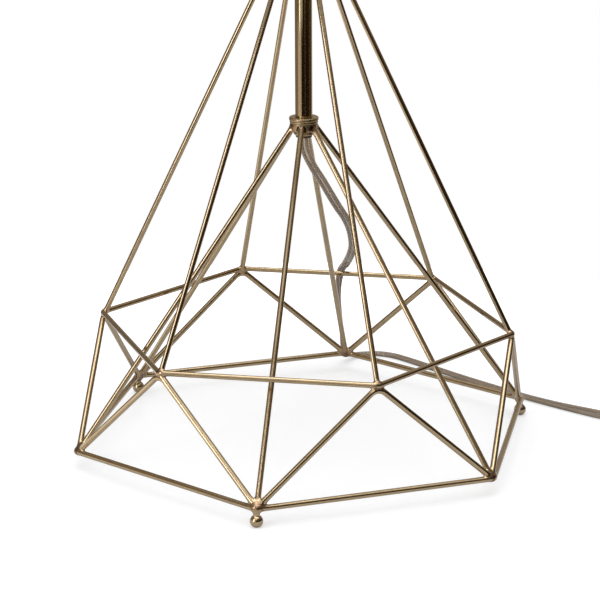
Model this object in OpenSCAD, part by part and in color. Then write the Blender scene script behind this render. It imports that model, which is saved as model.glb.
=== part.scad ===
// Table lamp on a faceted cage of round iron wire, with a ball foot under every other corner,
// a slim stem through the middle, a turn-knob socket, a harp and a linen drum shade.
// Millimetres, +Z up, origin on the table under the middle of the stem.

/* [Cage] */
// Distance from the stem's axis to the sharp corners of the bottom ring
base_r = 180; // [150:1:210]
// Distance from the stem's axis to the sharp corners of the waist ring
waist_r = 158; // [130:1:175]
// Height of the bottom ring's wire centre above the table
ring_lift = 13.4; // [12.4:0.1:18]
// Height of the waist ring above the bottom ring
waist_rise = 81.3; // [60:0.1:100]
// Height of the hub ring's middle above the bottom ring
hub_rise = 233.7; // [200:0.1:260]
// Height of the crown collar's middle above the bottom ring
crown_rise = 388.6; // [340:0.1:440]
// Wire of the bottom ring and of the bent chevrons
base_wire = 4.4; // [3.6:0.1:5]
// Wire of the waist ring and of the cage struts
cage_wire = 4.0; // [3.2:0.1:4.6]
// Wire of the inner braces
brace_wire = 4.2; // [3.4:0.1:4.8]
// Bend radius of the two rings at the wire's centre
ring_bend = 5; // [4:0.5:10]
// Bend radius of a chevron at the wire's centre
chevron_bend = 8; // [6:0.5:14]
// How far inside a sharp ring corner the rods that land on it aim
landing_in = 2; // [1:0.1:3]
// Depth to which a chevron's bend is melted into the waist ring
weld_depth = 0.3; // [0.1:0.1:0.6]

/* [Feet] */
// Diameter of a ball foot
foot_d = 9.5; // [8:0.1:11]
// Diameter of the flat that a ball foot stands on
foot_flat_d = 4; // [3:0.1:5]
// Diameter of the weld neck over a ball foot
foot_neck_d = 4.6; // [4:0.1:6]

/* [Stem] */
// Outer diameter of the stem tube
stem_d = 12.7; // [12:0.1:16]
// Wall of the stem tube
stem_wall = 0.9; // [0.5:0.1:1.1]
// Outer diameter of the threaded pipe inside the stem
pipe_d = 10.2; // [9.6:0.1:10.2]
// Bore of the threaded pipe
pipe_bore = 7.4; // [7.2:0.1:8]
// Outer diameter of the hub ring that the braces are welded to
hub_d = 20.6; // [19:0.1:24]
// Height of the hub ring
hub_h = 5.6; // [5:0.1:8]
// Diameter of the spacer ring on the hub
spacer_d = 21; // [18:0.1:24]
// Thickness of the spacer ring
spacer_t = 1.6; // [1:0.1:3]
// Diameter of the stem's foot washer
washer_d = 21.8; // [19:0.1:26]
// Thickness of the stem's foot washer
washer_t = 2.6; // [1.5:0.1:4]
// Width across the flats of the nut under the hub
nut_af = 14; // [13:0.1:16]
// Height of the nut under the hub
nut_h = 3.7; // [3:0.1:6]
// Diameter of the cord bushing's flange
bushing_d = 12; // [11:0.1:13]
// Thickness of the cord bushing's flange
bushing_t = 1.6; // [1:0.1:3]
// Diameter of the crown collar that the struts are welded to
crown_d = 24; // [22:0.1:28]
// Height of the crown collar
crown_h = 12; // [12:0.1:18]

/* [Socket] */
// Diameter of the seat washer under the harp saddle
seat_d = 24; // [20:0.1:28]
// Thickness of the seat washer
seat_t = 2; // [1:0.1:4]
// Outer diameter of the socket's cap
cap_d = 34; // [33.5:0.1:36]
// Height of the socket's cap
cap_h = 24; // [22:0.5:26]
// Sheet brass of the cap
cap_wall = 0.8; // [0.5:0.1:1]
// Height of the socket above the saddle
socket_h = 62; // [60:0.5:70]
// Sheet brass of the shell
shell_wall = 0.6; // [0.4:0.1:0.7]
// Thickness of the paper liner in the shell
liner_wall = 0.6; // [0.4:0.1:0.7]
// Height of the switch shaft's axis above the saddle
switch_rise = 30; // [29:0.1:31]
// Diameter of the switch shaft
switch_shaft_d = 3.2; // [2.6:0.1:3.4]
// Diameter of the switch knob
knob_d = 11; // [9:0.1:12]
// Length of the switch knob
knob_l = 14; // [11:0.5:16]

/* [Bulb] */
// Diameter of the bulb's screw cap
bulb_cap_d = 26.2; // [25.8:0.1:26.4]
// Largest diameter of the bulb's glass
bulb_d = 60; // [50:1:70]
// Length of the bulb over all
bulb_l = 106; // [100:1:115]

/* [Harp] */
// Height of the harp's top above the saddle
harp_h = 230; // [215:1:260]
// Half of the harp's widest spread
harp_half_w = 62; // [55:1:66]
// Wire of the harp
harp_wire = 3.5; // [3:0.1:4]
// Half of the distance between the saddle's two arms
saddle_half_w = 32; // [30:0.5:36]
// Width of the saddle's strip
saddle_w = 12; // [11:0.5:16]
// Thickness of the saddle's strip
saddle_t = 1.6; // [1.2:0.1:1.8]
// Height of the saddle's arms
saddle_h = 22; // [18:0.5:26]
// Length of a harp sleeve
sleeve_l = 14; // [11:0.5:15]
// Outer diameter of a harp sleeve
sleeve_d = 6.6; // [6.2:0.1:7.4]
// Diameter of the stud on top of the harp
stud_d = 6.2; // [5.8:0.1:6.6]
// Length of the stud above its shoulder
stud_l = 14; // [12:0.5:16]

/* [Shade] */
// Diameter of the shade's lower edge
shade_bottom_d = 380; // [340:1:420]
// Diameter of the shade's upper edge
shade_top_d = 356; // [300:1:400]
// Height of the shade
shade_h = 254; // [220:1:270]
// How far the shade's upper edge stands above its washer
shade_drop = 15; // [10:0.5:25]
// Thickness of the linen with its stiff backing
shade_wall = 1; // [0.8:0.1:1.6]
// Wire of the shade's frame
shade_wire = 3; // [2.4:0.1:4]
// Diameter of the washer in the middle of the shade's frame
fitter_d = 24; // [20:0.5:30]
// Thickness of that washer
fitter_t = 1.6; // [1.2:0.1:2.4]
// Diameter of the finial's ball
finial_d = 15; // [12:0.5:20]

/* [Cord] */
// Width of the flat two-core cord
cord_w = 6.8; // [6.4:0.1:6.8]
// Thickness of the flat two-core cord
cord_t = 3.3; // [3:0.1:3.4]
// Outer radius of the coil at the cord's centre
coil_r = 40.5; // [38:0.1:42]
// How much closer each turn of the coil lies to its middle
coil_step = 4.4; // [4.3:0.1:4.6]
// Turns in the coil, half of them in each layer
coil_turns = 5; // [4:1:5]
// Length of the plug's body
plug_l = 32; // [28:0.5:38]
// Width of the plug's body
plug_w = 25; // [22:0.5:28]
// Thickness of the plug's body
plug_t = 16; // [14:0.5:18]
// Distance between the plug's blades
blade_gap = 12.7; // [12.5:0.1:12.9]
// Length of the plug's blades
blade_l = 17; // [16:0.1:18]

/* [Clearances] */
// Radial clearance of a piece that turns or slides on another
run_fit = 0.05; // [0.03:0.01:0.1]
// Radial clearance of a piece that is slipped over another and stays
slip_fit = 0.1; // [0.05:0.05:0.2]
// Gap between a loose curved piece and its seat
seat_gap = 0.3; // [0.2:0.05:0.4]

/* [Hidden] */
$fn = 48;
SIDES = 6;
SIDE = 360 / SIDES;
FEET = 3;

IRON = "#b08d57";
BRASS = "#b5a642";
STEEL = "#b8b8b8";
LINEN = "#ece6d8";
CLEAR = "#8d8178";

// Vectors
UP = [0, 0, 1];
function unit(v) = v / norm(v);
function polar(r, a, z) = [r * cos(a), r * sin(a), z];

// Heights of the stack, from the table up
foot_z = sqrt(pow(foot_d / 2, 2) - pow(foot_flat_d / 2, 2));
ring_z = ring_lift;
waist_z = ring_z + waist_rise;
hub_z = ring_z + hub_rise;
hub_top = hub_z + hub_h / 2;
hub_bottom = hub_z - hub_h / 2;
nut_bottom = hub_bottom - nut_h;
exit_z = nut_bottom - bushing_t;
spacer_top = hub_top + spacer_t;
stem_foot = spacer_top + washer_t;
crown_z = ring_z + crown_rise;
crown_bottom = crown_z - crown_h / 2;
crown_top = crown_z + crown_h / 2;
saddle_z = crown_top + seat_t;
socket_z = saddle_z + saddle_t;
pipe_reach = 8;
pipe_top = socket_z + pipe_reach;

// Corners of the cage, numbered from +X for the bottom ring and half a side further on for the waist
function base_corner(i) = polar(base_r, SIDE * i, ring_z);
function waist_corner(i) = polar(waist_r, SIDE * (i + 0.5), waist_z);
function landing(i) = polar(base_r - landing_in, SIDE * i, ring_z);
function brace_top(i) = polar(hub_d / 2 - 1, SIDE * i, hub_z - 1);
function strut_foot(i) = polar(waist_r - landing_in, SIDE * (i + 0.5), waist_z);
function strut_top(i) = polar(crown_d / 2, SIDE * (i + 0.5), crown_z);

// A ring's wire runs inside its sharp corner by this much of its bend radius
BEND_CUT = 1 / cos(SIDE / 2) - 1;

// The chevron's sharp apex is placed so that its rounded bend meets the waist ring from below
bend_top = waist_z - cage_wire / 2 - base_wire / 2 + weld_depth;
apex_r = waist_r - ring_bend * BEND_CUT;
leg_half_run = (base_r - landing_in) * sin(SIDE / 2);
function leg_tilt(z) = atan2(leg_half_run, z - ring_z);
function apex_z(z) = bend_top + chevron_bend * (1 / sin(leg_tilt(z)) - 1);
// Two passes settle the apex, because its height and the legs' tilt depend on each other
apex_height = apex_z(apex_z(bend_top));
function apex(i) = polar(apex_r, SIDE * (i + 0.5), apex_height);

// Puts children in the frame with origin o, X along x and Y along y
module place(o, x, y) {
    z = cross(x, y);
    multmatrix([[x[0], y[0], z[0], o[0]],
                [x[1], y[1], z[1], o[1]],
                [x[2], y[2], z[2], o[2]],
                [0, 0, 0, 1]])
        children();
}

function across(v) = unit(abs(v[2]) > 0.9 ? cross(v, [1, 0, 0]) : cross(v, [0, 0, 1]));

// Points children's Z along v, from o
module aim(o, v) {
    x = across(unit(v));
    place(o, x, cross(unit(v), x)) children();
}

module rod(p, q, d) {
    aim(p, q - p) cylinder(d = d, h = norm(q - p));
}

// Rod with a round melted foot at p that runs on a little past q, into what it is welded to
module melted_rod(p, q, d) {
    translate(p) sphere(d = d);
    rod(p, q + unit(q - p) * d, d);
}

// Bent wire: a station is a point on the wire's centre with the wire's heading there
BEND_STEP = 14;
WIRE_SIDES = 16;

function bend_stations(a, v, b, r) =
    let (into = unit(v - a), out = unit(b - v), turn = acos(into * out),
         centre = v + unit(out - into) * r / cos(turn / 2),
         x = unit(v - into * r * tan(turn / 2) - centre), n = ceil(turn / BEND_STEP))
        [for (k = [0:n]) let (t = turn * k / n)
            [centre + r * (x * cos(t) + into * sin(t)), into * cos(t) - x * sin(t)]];

// Stations of a wire through points, bent at each inner one to its own radius
function wire_stations(p, radii) =
    let (last = len(p) - 1)
        concat([[p[0], unit(p[1] - p[0])]],
               [for (i = [1:1:last - 1]) each bend_stations(p[i - 1], p[i], p[i + 1], radii[i - 1])],
               [[p[last], unit(p[last] - p[last - 1])]]);

// Stations of a closed ring of wire with the same bend at each corner
function ring_stations(p, r) =
    let (n = len(p))
        [for (i = [0:n - 1]) each bend_stations(p[(i + n - 1) % n], p[i], p[(i + 1) % n], r)];

// Round sections at the stations of a wire that lies in a plane square to level
function wire_sections(stations, level, d, n) =
    [for (s = stations) let (side = cross(s[1], level))
        [for (k = [0:n - 1]) s[0] + d / 2 * (level * cos(360 * k / n) + side * sin(360 * k / n))]];

// Skin of triangles over rings of points, closed at its ends or round on itself
module tube(rings, closed = false) {
    n = len(rings[0]);
    all = len(rings) * n;
    last = all - n;
    skin = [for (i = [0:len(rings) - (closed ? 1 : 2)]) for (k = [0:n - 1])
        let (a = i * n + k, b = i * n + (k + 1) % n, c = (a + n) % all, e = (b + n) % all)
            each [[a, c, b], [b, c, e]]];
    foot = [for (k = [1:n - 2]) [0, k, k + 1]];
    head = [for (k = [1:n - 2]) [last, last + k + 1, last + k]];
    polyhedron([for (r = rings) each r], closed ? skin : concat(foot, skin, head));
}

module wire(points, radii, level, d, n = WIRE_SIDES) {
    tube(wire_sections(wire_stations(points, radii), level, d, n));
}

// Takes away everything on the side of the plane through p that n points to
module beyond(p, n, size = 60) {
    aim(p, n) translate([-size / 2, -size / 2, 0]) cube(size);
}

// Leaves only the side of a mitre that belongs to the rod along mine, where it meets the one along other
module mitre(p, mine, other) {
    beyond(p, unit(other) - unit(mine));
}

base_corners = [for (i = [0:SIDES - 1]) base_corner(i)];
waist_corners = [for (i = [0:SIDES - 1]) waist_corner(i)];

module ring(corners, d) {
    tube(wire_sections(ring_stations(corners, ring_bend), UP, d, WIRE_SIDES), closed = true);
}

// The part of a ring about corner i, which the rods that are welded there are cut to
module ring_corner(corners, i, d) {
    here = corners[(i + SIDES) % SIDES];
    before = corners[(i + SIDES - 1) % SIDES];
    after = corners[(i + 1) % SIDES];
    wire([(before + here) / 2, here, (here + after) / 2], [ring_bend], UP, d);
}

module base_ring_corner(i) { ring_corner(base_corners, i, base_wire); }
module waist_ring_corner(i) { ring_corner(waist_corners, i, cage_wire); }

module bottom_ring() { color(IRON) ring(base_corners, base_wire); }
module mid_ring() { color(IRON) ring(waist_corners, cage_wire); }

// Ball foot under the corner where the ring's bend runs, ground flat underneath
module foot(k) {
    corner = (k - 1) * SIDES / FEET;
    r = base_r - ring_bend * BEND_CUT;
    color(IRON) difference() {
        union() {
            translate(polar(r, SIDE * corner, foot_z)) sphere(d = foot_d);
            translate(polar(r, SIDE * corner, foot_z)) cylinder(d = foot_neck_d, h = ring_z - foot_z);
        }
        base_ring_corner(corner);
        translate([0, 0, -foot_d]) cylinder(r = base_r + foot_d, h = foot_d);
    }
}

// Directions in which the three rods leave the bottom corner i
function leg_on(i) = apex(i) - landing(i);
function leg_back(i) = apex(i - 1) - landing(i);
function brace_from(i) = brace_top(i) - landing(i);

// How far a leg runs on past its landing, into the ring
leg_sink = 0.6;

// Bent wire under waist corner i, from bottom corner i to the next
module chevron(k) {
    i = k - 1;
    color(IRON) difference() {
        wire([landing(i) - unit(leg_on(i)) * leg_sink, apex(i),
              landing(i + 1) - unit(leg_back(i + 1)) * leg_sink],
             [chevron_bend], unit(cross(leg_on(i), leg_back(i + 1))), base_wire);
        base_ring_corner(i);
        base_ring_corner(i + 1);
        waist_ring_corner(i);
        mitre(landing(i), leg_on(i), leg_back(i));
        mitre(landing(i), leg_on(i), brace_from(i));
        mitre(landing(i + 1), leg_back(i + 1), leg_on(i + 1));
        mitre(landing(i + 1), leg_back(i + 1), brace_from(i + 1));
    }
}

// Straight rod from the hub ring to bottom corner i
module brace(k) {
    i = k - 1;
    color(IRON) difference() {
        melted_rod(landing(i), brace_top(i), brace_wire);
        base_ring_corner(i);
        mitre(landing(i), brace_from(i), leg_on(i));
        mitre(landing(i), brace_from(i), leg_back(i));
        translate([0, 0, hub_z - hub_h]) cylinder(d = hub_d, h = 2 * hub_h);
    }
}

// Straight rod from waist corner i to the crown collar
module cage_strut(k) {
    i = k - 1;
    color(IRON) difference() {
        melted_rod(strut_foot(i), strut_top(i), cage_wire);
        waist_ring_corner(i);
        translate([0, 0, crown_bottom - crown_h]) cylinder(d = crown_d, h = 3 * crown_h);
    }
}

module washer(z, d, bore, t) {
    translate([0, 0, z]) difference() {
        cylinder(d = d, h = t);
        translate([0, 0, -1]) cylinder(d = bore, h = t + 2);
    }
}

pipe_hole = pipe_d + 2 * slip_fit;

module hub_ring() { color(IRON) washer(hub_bottom, hub_d, pipe_hole, hub_h); }
module spacer_ring() { color(IRON) washer(hub_top, spacer_d, pipe_hole, spacer_t); }
module stem_washer() { color(IRON) washer(spacer_top, washer_d, pipe_hole, washer_t); }
module crown_collar() { color(IRON) washer(crown_bottom, crown_d, pipe_hole, crown_h); }
module seat_washer() { color(IRON) washer(crown_top, seat_d, pipe_hole, seat_t); }

module stem_tube() {
    color(IRON) washer(stem_foot, stem_d, stem_d - 2 * stem_wall, crown_bottom - stem_foot);
}

module threaded_pipe() {
    color(STEEL) washer(nut_bottom, pipe_d, pipe_bore, pipe_top - nut_bottom);
}

// Hexagon nut with its lower corners turned off
module hub_nut() {
    face_d = nut_af - 0.6;
    color(IRON) translate([0, 0, nut_bottom]) difference() {
        intersection() {
            cylinder(d = nut_af / cos(30), h = nut_h, $fn = 6);
            cylinder(d1 = face_d, d2 = face_d + 2 * nut_h, h = nut_h);
        }
        translate([0, 0, -1]) cylinder(d = pipe_hole, h = nut_h + 2);
    }
}

// Flat cord's outline, centred, width along X
module cord_hole(gap) {
    r = cord_t / 2 + gap;
    run = (cord_w - cord_t) / 2;
    for (side = [-1, 1]) translate([side * run, 0]) circle(r = r);
    square([2 * run, 2 * r], center = true);
}

// Moulded bushing that keeps the pipe's edge off the cord
module cord_bushing() {
    color("#4a3a2c") translate([0, 0, exit_z]) difference() {
        cylinder(d = bushing_d, h = bushing_t);
        translate([0, 0, -1]) linear_extrude(bushing_t + 2) cord_hole(slip_fit);
    }
}

// Harp: saddle under the socket, two sleeves, the wire loop and its stud
arm_top = saddle_z + saddle_h;
tongue_h = 8;
tongue_w = harp_wire - 0.4;
sleeve_bore = harp_wire + 2 * run_fit;
leg_foot = arm_top + tongue_h;
harp_top = saddle_z + harp_h;
harp_shoulder = leg_foot + 28;
harp_swell = harp_shoulder + 50;
shoulder_bend = 25;
swell_bend = 45;

module harp_saddle() {
    color(IRON) difference() {
        union() {
            translate([-saddle_half_w, -saddle_w / 2, saddle_z])
                cube([2 * saddle_half_w, saddle_w, saddle_t]);
            for (side = [-1, 1]) translate([side * saddle_half_w - saddle_t / 2, 0, saddle_z]) {
                translate([0, -saddle_w / 2, 0]) cube([saddle_t, saddle_w, saddle_h]);
                translate([0, -tongue_w / 2, saddle_h - 0.01])
                    cube([saddle_t, tongue_w, tongue_h + 0.01]);
            }
        }
        translate([0, 0, saddle_z - 1]) cylinder(d = pipe_hole, h = saddle_t + 2);
    }
}

pad_d = 11;
pad_t = 1.2;
pad_top = harp_top + harp_wire / 2 + 0.4;

module harp_loop() {
    top_bend = harp_half_w - 0.7 * pad_d;
    half = [[saddle_half_w, 0, leg_foot], [saddle_half_w, 0, harp_shoulder],
            [harp_half_w, 0, harp_swell], [harp_half_w, 0, harp_top]];
    other = [for (i = [3:-1:0]) [-half[i][0], 0, half[i][2]]];
    bends = [shoulder_bend, swell_bend, top_bend, top_bend, swell_bend, shoulder_bend];
    pad_foot = harp_top - harp_wire / 2;
    color(STEEL) {
        wire(concat(half, other), bends, [0, 1, 0], harp_wire);
        translate([0, 0, pad_foot]) cylinder(d = pad_d, h = pad_top - pad_foot);
    }
}

module harp_stud() {
    color(BRASS) translate([0, 0, pad_top]) {
        cylinder(d = pad_d, h = pad_t);
        cylinder(d = stud_d, h = pad_t + stud_l);
    }
}

// Slides up the harp's leg to free it from the saddle
module harp_sleeve(side) {
    nose = 3;
    color(BRASS) translate([side * saddle_half_w, 0, arm_top + seat_gap / 3]) difference() {
        union() {
            cylinder(d = sleeve_d, h = sleeve_l - nose);
            translate([0, 0, sleeve_l - nose]) cylinder(d1 = sleeve_d, d2 = sleeve_bore + 1, h = nose);
        }
        translate([0, 0, -1]) cylinder(d = sleeve_bore, h = sleeve_l + 2);
    }
}

// Socket: cap, shell and liner round a moulded body with the switch in it
cap_in = cap_d / 2 - cap_wall;
shell_r = cap_in - slip_fit;
liner_r = shell_r - shell_wall - slip_fit;
body_r = liner_r - liner_wall - slip_fit;
body_rise = 18;
body_h = 18;
body_foot = socket_z + body_rise;
body_top = body_foot + body_h;
thread_room = 0.9;
screw_r = min(bulb_cap_d / 2 + thread_room, body_r);
screw_wall = 0.5;
screw_top = socket_z + socket_h - 4;
shell_lap = 7;
liner_lap = 6;
switch_z = socket_z + switch_rise;
switch_hole = switch_shaft_d + 2 * run_fit;
port_d = switch_shaft_d + 2;
rotor_d = 7.6;
rotor_h = 4;

// Binding screws, each in a notch of the body
notch_x = 9.5;
notch_w = 10;
notch_h = 8;
screw_z = body_foot + 4;
screw_d = 2.6;
screw_head_d = 6;
screw_head_t = 1.6;

module socket_cap() {
    neck_r = pipe_d / 2 + 2.4;
    neck_h = 5;
    flare_top = 14;
    color(BRASS) translate([0, 0, socket_z]) rotate_extrude() polygon([
        [pipe_hole / 2, 0], [neck_r, 0], [neck_r, neck_h],
        [cap_d / 2 - 2.5, flare_top - 2], [cap_d / 2, flare_top], [cap_d / 2, cap_h],
        [cap_in, cap_h], [cap_in, flare_top + 1.4], [neck_r, neck_h + cap_wall + 0.6],
        [pipe_hole / 2, neck_h + cap_wall + 0.6]
    ]);
}

module switch_port(d) {
    translate([0, 0, switch_z]) rotate([90, 0, 0]) cylinder(d = d, h = cap_d);
}

module socket_shell() {
    foot = socket_z + cap_h - shell_lap;
    color(BRASS) difference() {
        washer(foot, 2 * shell_r, 2 * (shell_r - shell_wall), socket_z + socket_h - foot);
        switch_port(port_d);
    }
}

module socket_liner() {
    foot = socket_z + cap_h - liner_lap;
    color("#5b4636") difference() {
        washer(foot, 2 * liner_r, 2 * (liner_r - liner_wall), socket_z + socket_h - 2 - foot);
        switch_port(port_d);
    }
}

module socket_body() {
    pocket_d = rotor_d + 1.4;
    pocket_h = rotor_h + 1;
    color("#2b2523") difference() {
        translate([0, 0, body_foot]) cylinder(r = body_r, h = body_h);
        for (side = [-1, 1]) {
            translate([side * (notch_x + notch_w / 2) - notch_w / 2, -notch_w / 2, body_foot - 1])
                cube([notch_w, notch_w, notch_h + 1]);
            translate([side * notch_x, 0, screw_z])
                rotate([0, -side * 90, 0]) cylinder(d = screw_d + 2 * slip_fit, h = 5);
        }
        switch_port(switch_hole);
        translate([0, pocket_h / 2, switch_z]) rotate([90, 0, 0]) cylinder(d = pocket_d, h = pocket_h);
    }
}

module screw_shell() {
    color(BRASS) washer(body_top, 2 * screw_r, 2 * (screw_r - screw_wall), screw_top - body_top);
}

contact_t = 0.6;
contact_dome = 0.5;

module centre_contact() {
    color(BRASS) translate([0, 0, body_top]) {
        cylinder(d = 9, h = contact_t);
        cylinder(d = 5, h = contact_t + contact_dome);
    }
}

module terminal_screws() {
    slot = 0.8;
    color(BRASS) for (side = [-1, 1])
        translate([side * notch_x, 0, screw_z]) rotate([0, side * 90, 0]) {
            translate([0, 0, -4.5]) cylinder(d = screw_d, h = 4.6);
            difference() {
                cylinder(d = screw_head_d, h = screw_head_t);
                translate([-slot / 2, -screw_head_d, screw_head_t - slot])
                    cube([slot, 2 * screw_head_d, 2 * slot]);
            }
        }
}

knob_start = cap_d / 2 + 2;
// How far the shaft goes into the knob
knob_grip = 8;

// Shaft with the switch's rotor on its inner end
module switch_shaft() {
    color(BRASS) translate([0, 0, switch_z]) rotate([90, 0, 0]) {
        cylinder(d = switch_shaft_d, h = knob_start + knob_grip);
        translate([0, 0, -rotor_h / 2]) cylinder(d = rotor_d, h = rotor_h);
    }
}

// Fluted knob on a narrower neck, with a cone on its end
module switch_knob() {
    neck_d = knob_d - 4.2;
    neck_h = 3;
    cone_h = 1.5;
    flutes = 12;
    flute_d = 2;
    color("#2b2523") translate([0, -knob_start, switch_z]) rotate([90, 0, 0]) difference() {
        union() {
            cylinder(d = neck_d, h = neck_h);
            translate([0, 0, neck_h]) cylinder(d = knob_d, h = knob_l - neck_h - cone_h);
            translate([0, 0, knob_l - cone_h]) cylinder(d1 = knob_d, d2 = knob_d - 2 * cone_h, h = cone_h);
        }
        translate([0, 0, -1]) cylinder(d = switch_shaft_d, h = knob_grip + 1);
        for (i = [1:flutes]) rotate(i * 360 / flutes)
            translate([knob_d / 2 + flute_d / 4, 0, neck_h + 0.5]) cylinder(d = flute_d, h = knob_l);
    }
}

// Bulb: screw cap, solder contact and glass
bulb_foot = body_top + contact_t + contact_dome + seat_gap;
contact_h = 4;
bulb_cap_h = 20;
cap_foot = bulb_foot + contact_h;
cap_top = cap_foot + bulb_cap_h;
glass_r = bulb_d / 2;
neck_r = bulb_cap_d / 2 - 0.6;
neck_top = cap_top + 3;
glass_z = bulb_foot + bulb_l - glass_r;
glass_wall = 0.8;

// Ball with a cone drawn off it down to the neck, for the glass's outside and inside
module bulb_form(r, n) {
    reach = norm([n, glass_z - neck_top]);
    touch = atan2(neck_top - glass_z, n) + acos(r / reach);
    translate([0, 0, glass_z]) sphere(r = r);
    translate([0, 0, neck_top])
        cylinder(r1 = n, r2 = r * cos(touch), h = glass_z + r * sin(touch) - neck_top);
}

module bulb_glass() {
    color("#f4f1e8") difference() {
        union() {
            bulb_form(glass_r, neck_r);
            translate([0, 0, cap_top]) cylinder(r = neck_r, h = neck_top - cap_top);
        }
        bulb_form(glass_r - glass_wall, neck_r - glass_wall);
        translate([0, 0, cap_top - 1]) cylinder(r = neck_r - glass_wall, h = neck_top - cap_top + 1);
    }
}

module bulb_cap() {
    wall = 0.5;
    color(STEEL) translate([0, 0, cap_foot]) rotate_extrude() polygon([
        [bulb_cap_d / 2 - 4, 0], [bulb_cap_d / 2, 2], [bulb_cap_d / 2, bulb_cap_h],
        [bulb_cap_d / 2 - wall, bulb_cap_h], [bulb_cap_d / 2 - wall, 2.4], [bulb_cap_d / 2 - 4, 0.6]
    ]);
}

// Solder dot on the glass insulator that closes the cap
module bulb_contact() {
    dot_h = 1.2;
    color(STEEL) translate([0, 0, bulb_foot]) {
        cylinder(d1 = 6, d2 = 9, h = dot_h);
        translate([0, 0, dot_h]) cylinder(d1 = 10, d2 = bulb_cap_d - 8, h = contact_h - dot_h);
    }
}

// Shade: linen drum on two wire rings, hung by its washer on the harp's stud
fitter_z = pad_top + pad_t + seat_gap / 3;
shade_top = fitter_z + fitter_t + shade_drop;
shade_bottom = shade_top - shade_h;
shade_slope = (shade_bottom_d - shade_top_d) / 2 / shade_h;
top_wire_z = shade_top - shade_wire / 2 - 0.5;
bottom_wire_z = shade_bottom + shade_wire / 2 + 0.5;
wire_in = shade_wall + shade_wire / 2 + slip_fit;
function shade_r(z) = shade_bottom_d / 2 - (z - shade_bottom) * shade_slope;

module shade_shell() {
    color(LINEN) rotate_extrude($fn = 96) polygon([
        [shade_r(shade_bottom), shade_bottom], [shade_r(shade_top), shade_top],
        [shade_r(shade_top) - shade_wall, shade_top], [shade_r(shade_bottom) - shade_wall, shade_bottom]
    ]);
}

module hoop(r, z, d) {
    translate([0, 0, z]) rotate_extrude($fn = 96) translate([r, 0]) circle(d = d, $fn = 24);
}

module shade_top_frame() {
    r = shade_r(top_wire_z) - wire_in;
    color(STEEL) {
        hoop(r, top_wire_z, shade_wire);
        difference() {
            union() {
                translate([0, 0, fitter_z]) cylinder(d = fitter_d, h = fitter_t);
                for (a = [30, 150, 270])
                    rod(polar(fitter_d / 2 - 2, a, fitter_z + fitter_t - 0.2), polar(r, a, top_wire_z),
                        shade_wire - 0.2);
            }
            translate([0, 0, fitter_z - 5]) cylinder(d = stud_d + 2 * run_fit, h = fitter_t + 10);
            translate([0, 0, fitter_z - 5]) cylinder(d = fitter_d + 10, h = 5);
        }
    }
}

module shade_bottom_ring() {
    color(STEEL) hoop(shade_r(bottom_wire_z) - wire_in, bottom_wire_z, shade_wire);
}

module finial() {
    base_d = 14;
    base_h = 5;
    neck_d = 6.5;
    cone_h = 3;
    ball_z = 17;
    color(IRON) translate([0, 0, fitter_z + fitter_t + seat_gap / 3]) difference() {
        union() {
            cylinder(d = base_d, h = base_h);
            translate([0, 0, base_h]) cylinder(d1 = base_d, d2 = neck_d - 0.5, h = cone_h);
            cylinder(d = neck_d, h = ball_z);
            translate([0, 0, ball_z]) sphere(d = finial_d);
        }
        translate([0, 0, -1]) cylinder(d = stud_d + 2 * run_fit, h = stud_l);
    }
}

// Cord: lead in the stem, free stretch to the table, coil, tail and plug
core_d = 2;

// Flat lead through the pipe, whose two cores part in the cap and rise to the binding screws
module stem_lead() {
    split = (cord_w - cord_t) / 2;
    screw_x = notch_x + 1.6 + core_d / 2 + slip_fit;
    color(CLEAR) {
        translate([0, 0, exit_z]) linear_extrude(pipe_top - exit_z) cord_hole(0);
        for (side = [-1, 1])
            wire([[side * split, 0, pipe_top - 1], [side * split, 0, pipe_top + 5],
                  [side * screw_x, 0, pipe_top + 5], [side * screw_x, 0, body_foot + 4]],
                 [2.2, 2.2], [0, 1, 0], core_d, 8);
    }
}

// Section of the flat cord as points across its width and its thickness
function cord_section(sides) = [
    for (side = [0, 1]) for (k = [0:sides / 2 - 1])
        let (a = -90 + 180 * k / (sides / 2 - 1) + 180 * side, run = (cord_w - cord_t) / 2)
            [(side == 0 ? run : -run) + cord_t / 2 * cos(a), cord_t / 2 * sin(a)]
];

// Ring of points round p, the width turned towards wide as far as the heading lets it
function cord_ring(p, heading, wide, section) =
    let (w = unit(wide - heading * (wide * heading)), n = cross(heading, w))
        [for (s = section) p + w * s[0] + n * s[1]];

function heading_at(path, i, first, last) =
    i == 0 ? first : i == len(path) - 1 ? last : unit(path[i + 1] - path[i - 1]);

function cord_rings(path, wides, first, last, sides) =
    [for (i = [0:len(path) - 1])
        cord_ring(path[i], heading_at(path, i, first, last), wides[i], cord_section(sides))];

// Smooth curve through points, with the same number of steps between each two
function curve_at(a, b, c, d, t) =
    (2 * b + (c - a) * t + (2 * a - 5 * b + 4 * c - d) * t * t + (3 * b - a - 3 * c + d) * t * t * t) / 2;
function curve(p, steps) = concat(
    [for (i = [0:len(p) - 2]) for (s = [0:steps - 1])
        curve_at(i == 0 ? 2 * p[0] - p[1] : p[i - 1], p[i], p[i + 1],
                 i == len(p) - 2 ? 2 * p[i + 1] - p[i] : p[i + 2], s / steps)],
    [p[len(p) - 1]]);

// Coil: spirals in on the lower layer, climbs in the half turn in the middle, spirals out on the upper
coil_at = [285, -39, 0];
coil_start = -150;
tie_t = 0.6;
tie_w = 6;
table_gap = 0.1;
coil_low = table_gap + tie_t + seat_gap + cord_w / 2;
coil_layer = cord_w + 0.6;
LOOP_RINGS = 24;

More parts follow.
